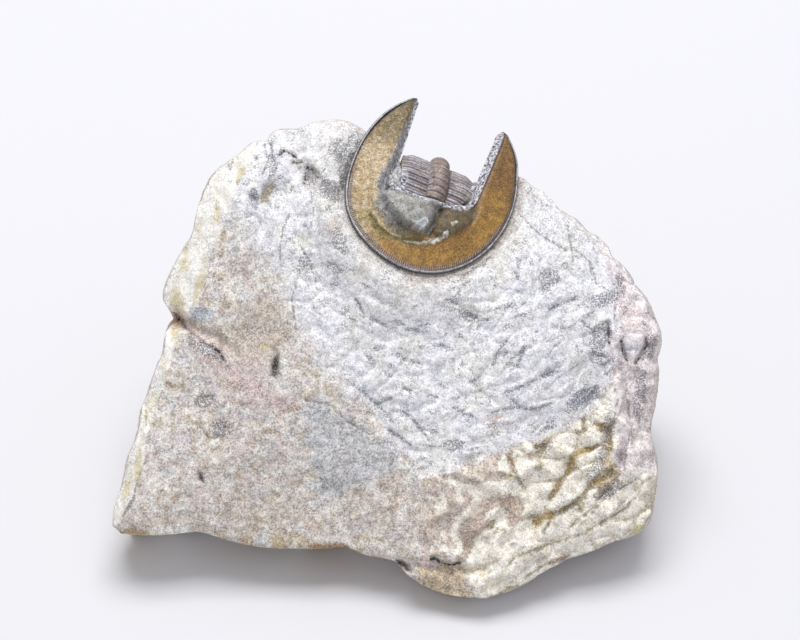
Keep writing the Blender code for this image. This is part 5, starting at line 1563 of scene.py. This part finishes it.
class Shades:
    """A material's node tree, built in short calls that hand back output sockets."""

    def __init__(self, name):
        self.material = bpy.data.materials.new(name)
        self.material.use_nodes = True
        self.tree = self.material.node_tree
        self.shader = self.tree.nodes["Principled BSDF"]
        self.place = self.node("ShaderNodeTexCoord").outputs["Object"]

    def node(self, kind, **settings):
        made = self.tree.nodes.new(kind)
        for key, value in settings.items():
            setattr(made, key, value)
        return made

    def put(self, socket, value):
        if isinstance(value, bpy.types.NodeSocket):
            self.tree.links.new(value, socket)
        else:
            socket.default_value = value

    def compute(self, operation, first, second):
        made = self.node("ShaderNodeMath", operation=operation)
        self.put(made.inputs[0], first)
        self.put(made.inputs[1], second)
        return made.outputs[0]

    def times(self, first, second):
        return self.compute("MULTIPLY", first, second)

    def plus(self, first, second):
        return self.compute("ADD", first, second)

    def spread(self, value, low, high, to_low=0.0, to_high=1.0):
        """An even ramp of a value from low to high."""
        made = self.node("ShaderNodeMapRange", interpolation_type="SMOOTHSTEP")
        for socket, number in zip(made.inputs, (value, low, high, to_low, to_high)):
            self.put(socket, number)
        return made.outputs["Result"]

    def noise(self, size, detail=2.0, roughness=0.6):
        made = self.node("ShaderNodeTexNoise")
        self.put(made.inputs["Vector"], self.place)
        self.put(made.inputs["Scale"], 1.0 / (size * MM))
        self.put(made.inputs["Detail"], detail)
        self.put(made.inputs["Roughness"], roughness)
        return made.outputs["Fac"]

    def stored(self, name):
        return self.node("ShaderNodeAttribute", attribute_name=name).outputs["Color"]

    def parts(self, value):
        made = self.node("ShaderNodeSeparateColor")
        self.put(made.inputs[0], value)
        return made.outputs

    def mix(self, share, first, second, kind="MIX"):
        made = self.node("ShaderNodeMix", data_type="RGBA", blend_type=kind)
        self.put(made.inputs["Factor"], share)
        self.put(made.inputs[COLOUR_A], first)
        self.put(made.inputs[COLOUR_B], second)
        return made.outputs[MIXED_COLOUR]

    def bump(self, height, strength, distance, normal=None):
        made = self.node("ShaderNodeBump")
        self.put(made.inputs["Height"], height)
        self.put(made.inputs["Strength"], strength)
        self.put(made.inputs["Distance"], distance * MM)
        if normal is not None:
            self.put(made.inputs["Normal"], normal)
        return made.outputs["Normal"]

    def finish(self, tint, roughness, normal):
        self.put(self.shader.inputs["Base Color"], tint)
        self.put(self.shader.inputs["Roughness"], roughness)
        self.put(self.shader.inputs["Normal"], normal)
        return self.material


def rgb(*values):
    return (*colour(*values), 1.0)


def speckled(s, tint, amount, fine_size, coarse_size):
    """Salt-and-pepper lightening and darkening of a colour."""
    small = s.spread(s.noise(fine_size, 2.0, 0.7), 0.30, 0.70, -1.0, 1.0)
    large = s.spread(s.noise(coarse_size, 2.0, 0.6), 0.30, 0.70, -1.0, 1.0)
    swing = s.plus(s.times(small, 0.28), s.times(large, 0.20))
    swing = s.plus(s.times(swing, amount), 1.0)
    made = s.node("ShaderNodeCombineColor")
    for socket in made.inputs:
        s.put(socket, swing)
    return s.mix(1.0, tint, made.outputs[0], "MULTIPLY")


def stone_material():
    """Limestone: grain, clusters of dark grains, and the lines of its cracks and marks."""
    s = Shades("limestone")
    zones = s.parts(s.stored("zones"))
    marks = s.parts(s.stored("marks"))
    tint = speckled(s, s.stored("tint"), zones[0], 0.36, 1.0)
    # dark grains that gather in clusters, and pale ones between them
    pepper = s.noise(0.26, 1.0, 0.5)
    cluster = s.spread(s.noise(3.0, 2.0, 0.6), 0.42, 0.60, 0.10, 0.46)
    dark = s.times(s.spread(pepper, 0.53, 0.62), cluster)
    tint = s.mix(dark, tint, rgb(150, 148, 150), "MULTIPLY")
    tint = s.mix(s.spread(pepper, 0.43, 0.34, 0.0, 0.42), tint, rgb(247, 246, 244))
    # thin lines where the stored distances are small; the tool's marks are crumbly smudges
    wander = s.times(s.spread(s.noise(0.8), 0.3, 0.7, -1.0, 1.0), 0.06)
    patchy = s.noise(0.7, 2.0, 0.7)
    # the first of these lines, the open cracks, is painted shade
    for channel, width, core, breaks, strength, shade in (
            (0, 0.15, 0.07, s.spread(patchy, 0.30, 0.44), 0.95, rgb(58, 52, 52)),
            (1, 0.28, 0.08, s.spread(pepper, 0.42, 0.51), 0.66, rgb(104, 104, 116)),
            (2, 0.15, 0.06, s.spread(patchy, 0.36, 0.50), 0.62, rgb(112, 106, 104))):
        line = s.spread(s.plus(marks[channel], wander), width, core)
        tint = s.mix(s.times(s.times(line, strength), breaks), tint, shade)
    normal = s.bump(s.noise(0.9, 3.0, 0.65), 0.5, 0.25)
    normal = s.bump(s.noise(0.30, 2.0, 0.6), 0.5, 0.10, normal)
    rough = s.spread(s.noise(1.2), 0.2, 0.8, 0.78, 0.95)
    return s.finish(tint, rough, normal)


def shell_material(name, fine_size, coarse_size, shine):
    """Fossil shell: speckled, partly glossy, with chalky crumb on it."""
    s = Shades(name)
    zones = s.parts(s.stored("zones"))
    tint = speckled(s, s.stored("tint"), zones[1], fine_size, coarse_size)
    pepper = s.noise(0.24, 1.0, 0.5)
    tint = s.mix(s.spread(pepper, 0.53, 0.63, 0.0, 0.5), tint, rgb(150, 144, 138), "MULTIPLY")
    pale = s.times(s.spread(pepper, 0.42, 0.33), zones[1])
    tint = s.mix(pale, tint, rgb(118, 110, 100), "ADD")
    # chalky crumb: white lumps with blue-black between them
    lump = s.spread(s.noise(0.5, 3.0, 0.7), 0.41, 0.55)
    crumb = s.mix(lump, rgb(78, 80, 96), rgb(222, 222, 230))
    crumb = s.mix(s.spread(s.noise(1.1), 0.52, 0.62, 0.0, 0.45), crumb, rgb(160, 150, 140))
    tint = s.mix(zones[0], tint, crumb)
    normal = s.bump(s.noise(0.5, 3.0, 0.65), 0.4, 0.12)
    normal = s.bump(lump, s.times(zones[0], 0.6), 0.15, normal)
    polish = s.compute("SUBTRACT", 0.72, s.times(zones[2], shine))
    rough = s.plus(polish, s.times(zones[0], 0.25))
    rough = s.plus(rough, s.spread(s.noise(0.7), 0.2, 0.8, -0.08, 0.08))
    return s.finish(tint, rough, normal)


def floor_material():
    s = Shades("studio_floor")
    shade = s.spread(s.noise(400.0, 1.0, 0.4), 0.3, 0.7)
    tint = s.mix(shade, rgb(222, 222, 226), rgb(224, 224, 228))
    normal = s.bump(s.noise(3.0, 2.0, 0.5), 0.02, 0.05)
    return s.finish(tint, 0.9, normal)


def wear(obj, material):
    obj.data.materials.clear()
    obj.data.materials.append(material)
    obj.data.polygons.foreach_set("use_smooth", [True] * len(obj.data.polygons))


# ---- floor, light, camera ----
FLOOR_HALF, FLOOR_THICKNESS = 6000.0, 5.0  # mm
LENS, SENSOR = 125.0, 36.0  # mm
CAMERA_CLIP = 0.01, 50.0  # m
ROOM_COLOUR, ROOM_STRENGTH = (0.965, 0.97, 1.0, 1.0), 0.59
LAMP_AT, LAMP_AIM, LAMP_SIZE, LAMP_WATTS = (-0.03, 0.27, 0.96), (0, 0, 0.02), (0.7, 0.5), 7.6  # m


def make_floor(collection):
    corners = np.array([(-1, -1), (1, -1), (1, 1), (-1, 1)]) * FLOOR_HALF
    rings = [np.column_stack((corners, np.full(4, z))) for z in (0.0, -FLOOR_THICKNESS)]
    floor = new_object("studio_floor_sheet", *loft(rings), collection)
    wear(floor, floor_material())
    return floor


def make_light():
    lamp = bpy.data.lights.new("overhead", "AREA")
    lamp.shape, (lamp.size, lamp.size_y), lamp.energy = "RECTANGLE", LAMP_SIZE, LAMP_WATTS
    obj = bpy.data.objects.new("overhead", lamp)
    obj.location = LAMP_AT
    obj.rotation_euler = (Vector(LAMP_AIM) - Vector(LAMP_AT)).to_track_quat("-Z", "Y").to_euler()
    bpy.context.scene.collection.objects.link(obj)


def make_room():
    scene = bpy.context.scene
    scene.view_settings.view_transform = "Standard"
    scene.world = bpy.data.worlds.new("white_room")
    scene.world.use_nodes = True
    background = scene.world.node_tree.nodes["Background"]
    background.inputs["Color"].default_value = ROOM_COLOUR
    background.inputs["Strength"].default_value = ROOM_STRENGTH


def make_camera(shift):
    """The photograph's view, square to the face."""
    camera = bpy.data.cameras.new("photo_view")
    camera.sensor_fit, camera.sensor_width, camera.lens = "HORIZONTAL", SENSOR, LENS
    camera.clip_start, camera.clip_end = CAMERA_CLIP
    obj = bpy.data.objects.new("photo_view", camera)
    obj.location = Vector((MID - shift + W * VIEW) * MM)
    obj.rotation_euler = Vector(-W).to_track_quat("-Z", "Y").to_euler()
    bpy.context.scene.collection.objects.link(obj)
    bpy.context.scene.camera = obj


# ---- put together ----
STOOD = (-1.7972, -2.3144, 0.0)  # mm that part.py draws everything back by, to stand at the origin


def main():
    shift = np.array(STOOD)
    scene = bpy.context.scene.collection
    block = make_fine_block(scene)
    head = make_fine_head(scene)
    body = make_fine_body(scene)
    for piece in (block, head, body):
        put_points(piece, points_of(piece) - shift)
    wear(block, stone_material())
    wear(head, shell_material("head_shell", 0.40, 1.0, 0.30))
    wear(body, shell_material("body_shell", 0.45, 1.1, 0.20))
    for piece, node, slot in ((block, "matrix", "limestone"), (head, "cephalon", "head_shell"),
                              (body, "thorax", "body_shell")):
        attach(piece, "root")
        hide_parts(node)
    make_floor(scene)
    make_room()
    make_light()
    make_camera(shift)


main()
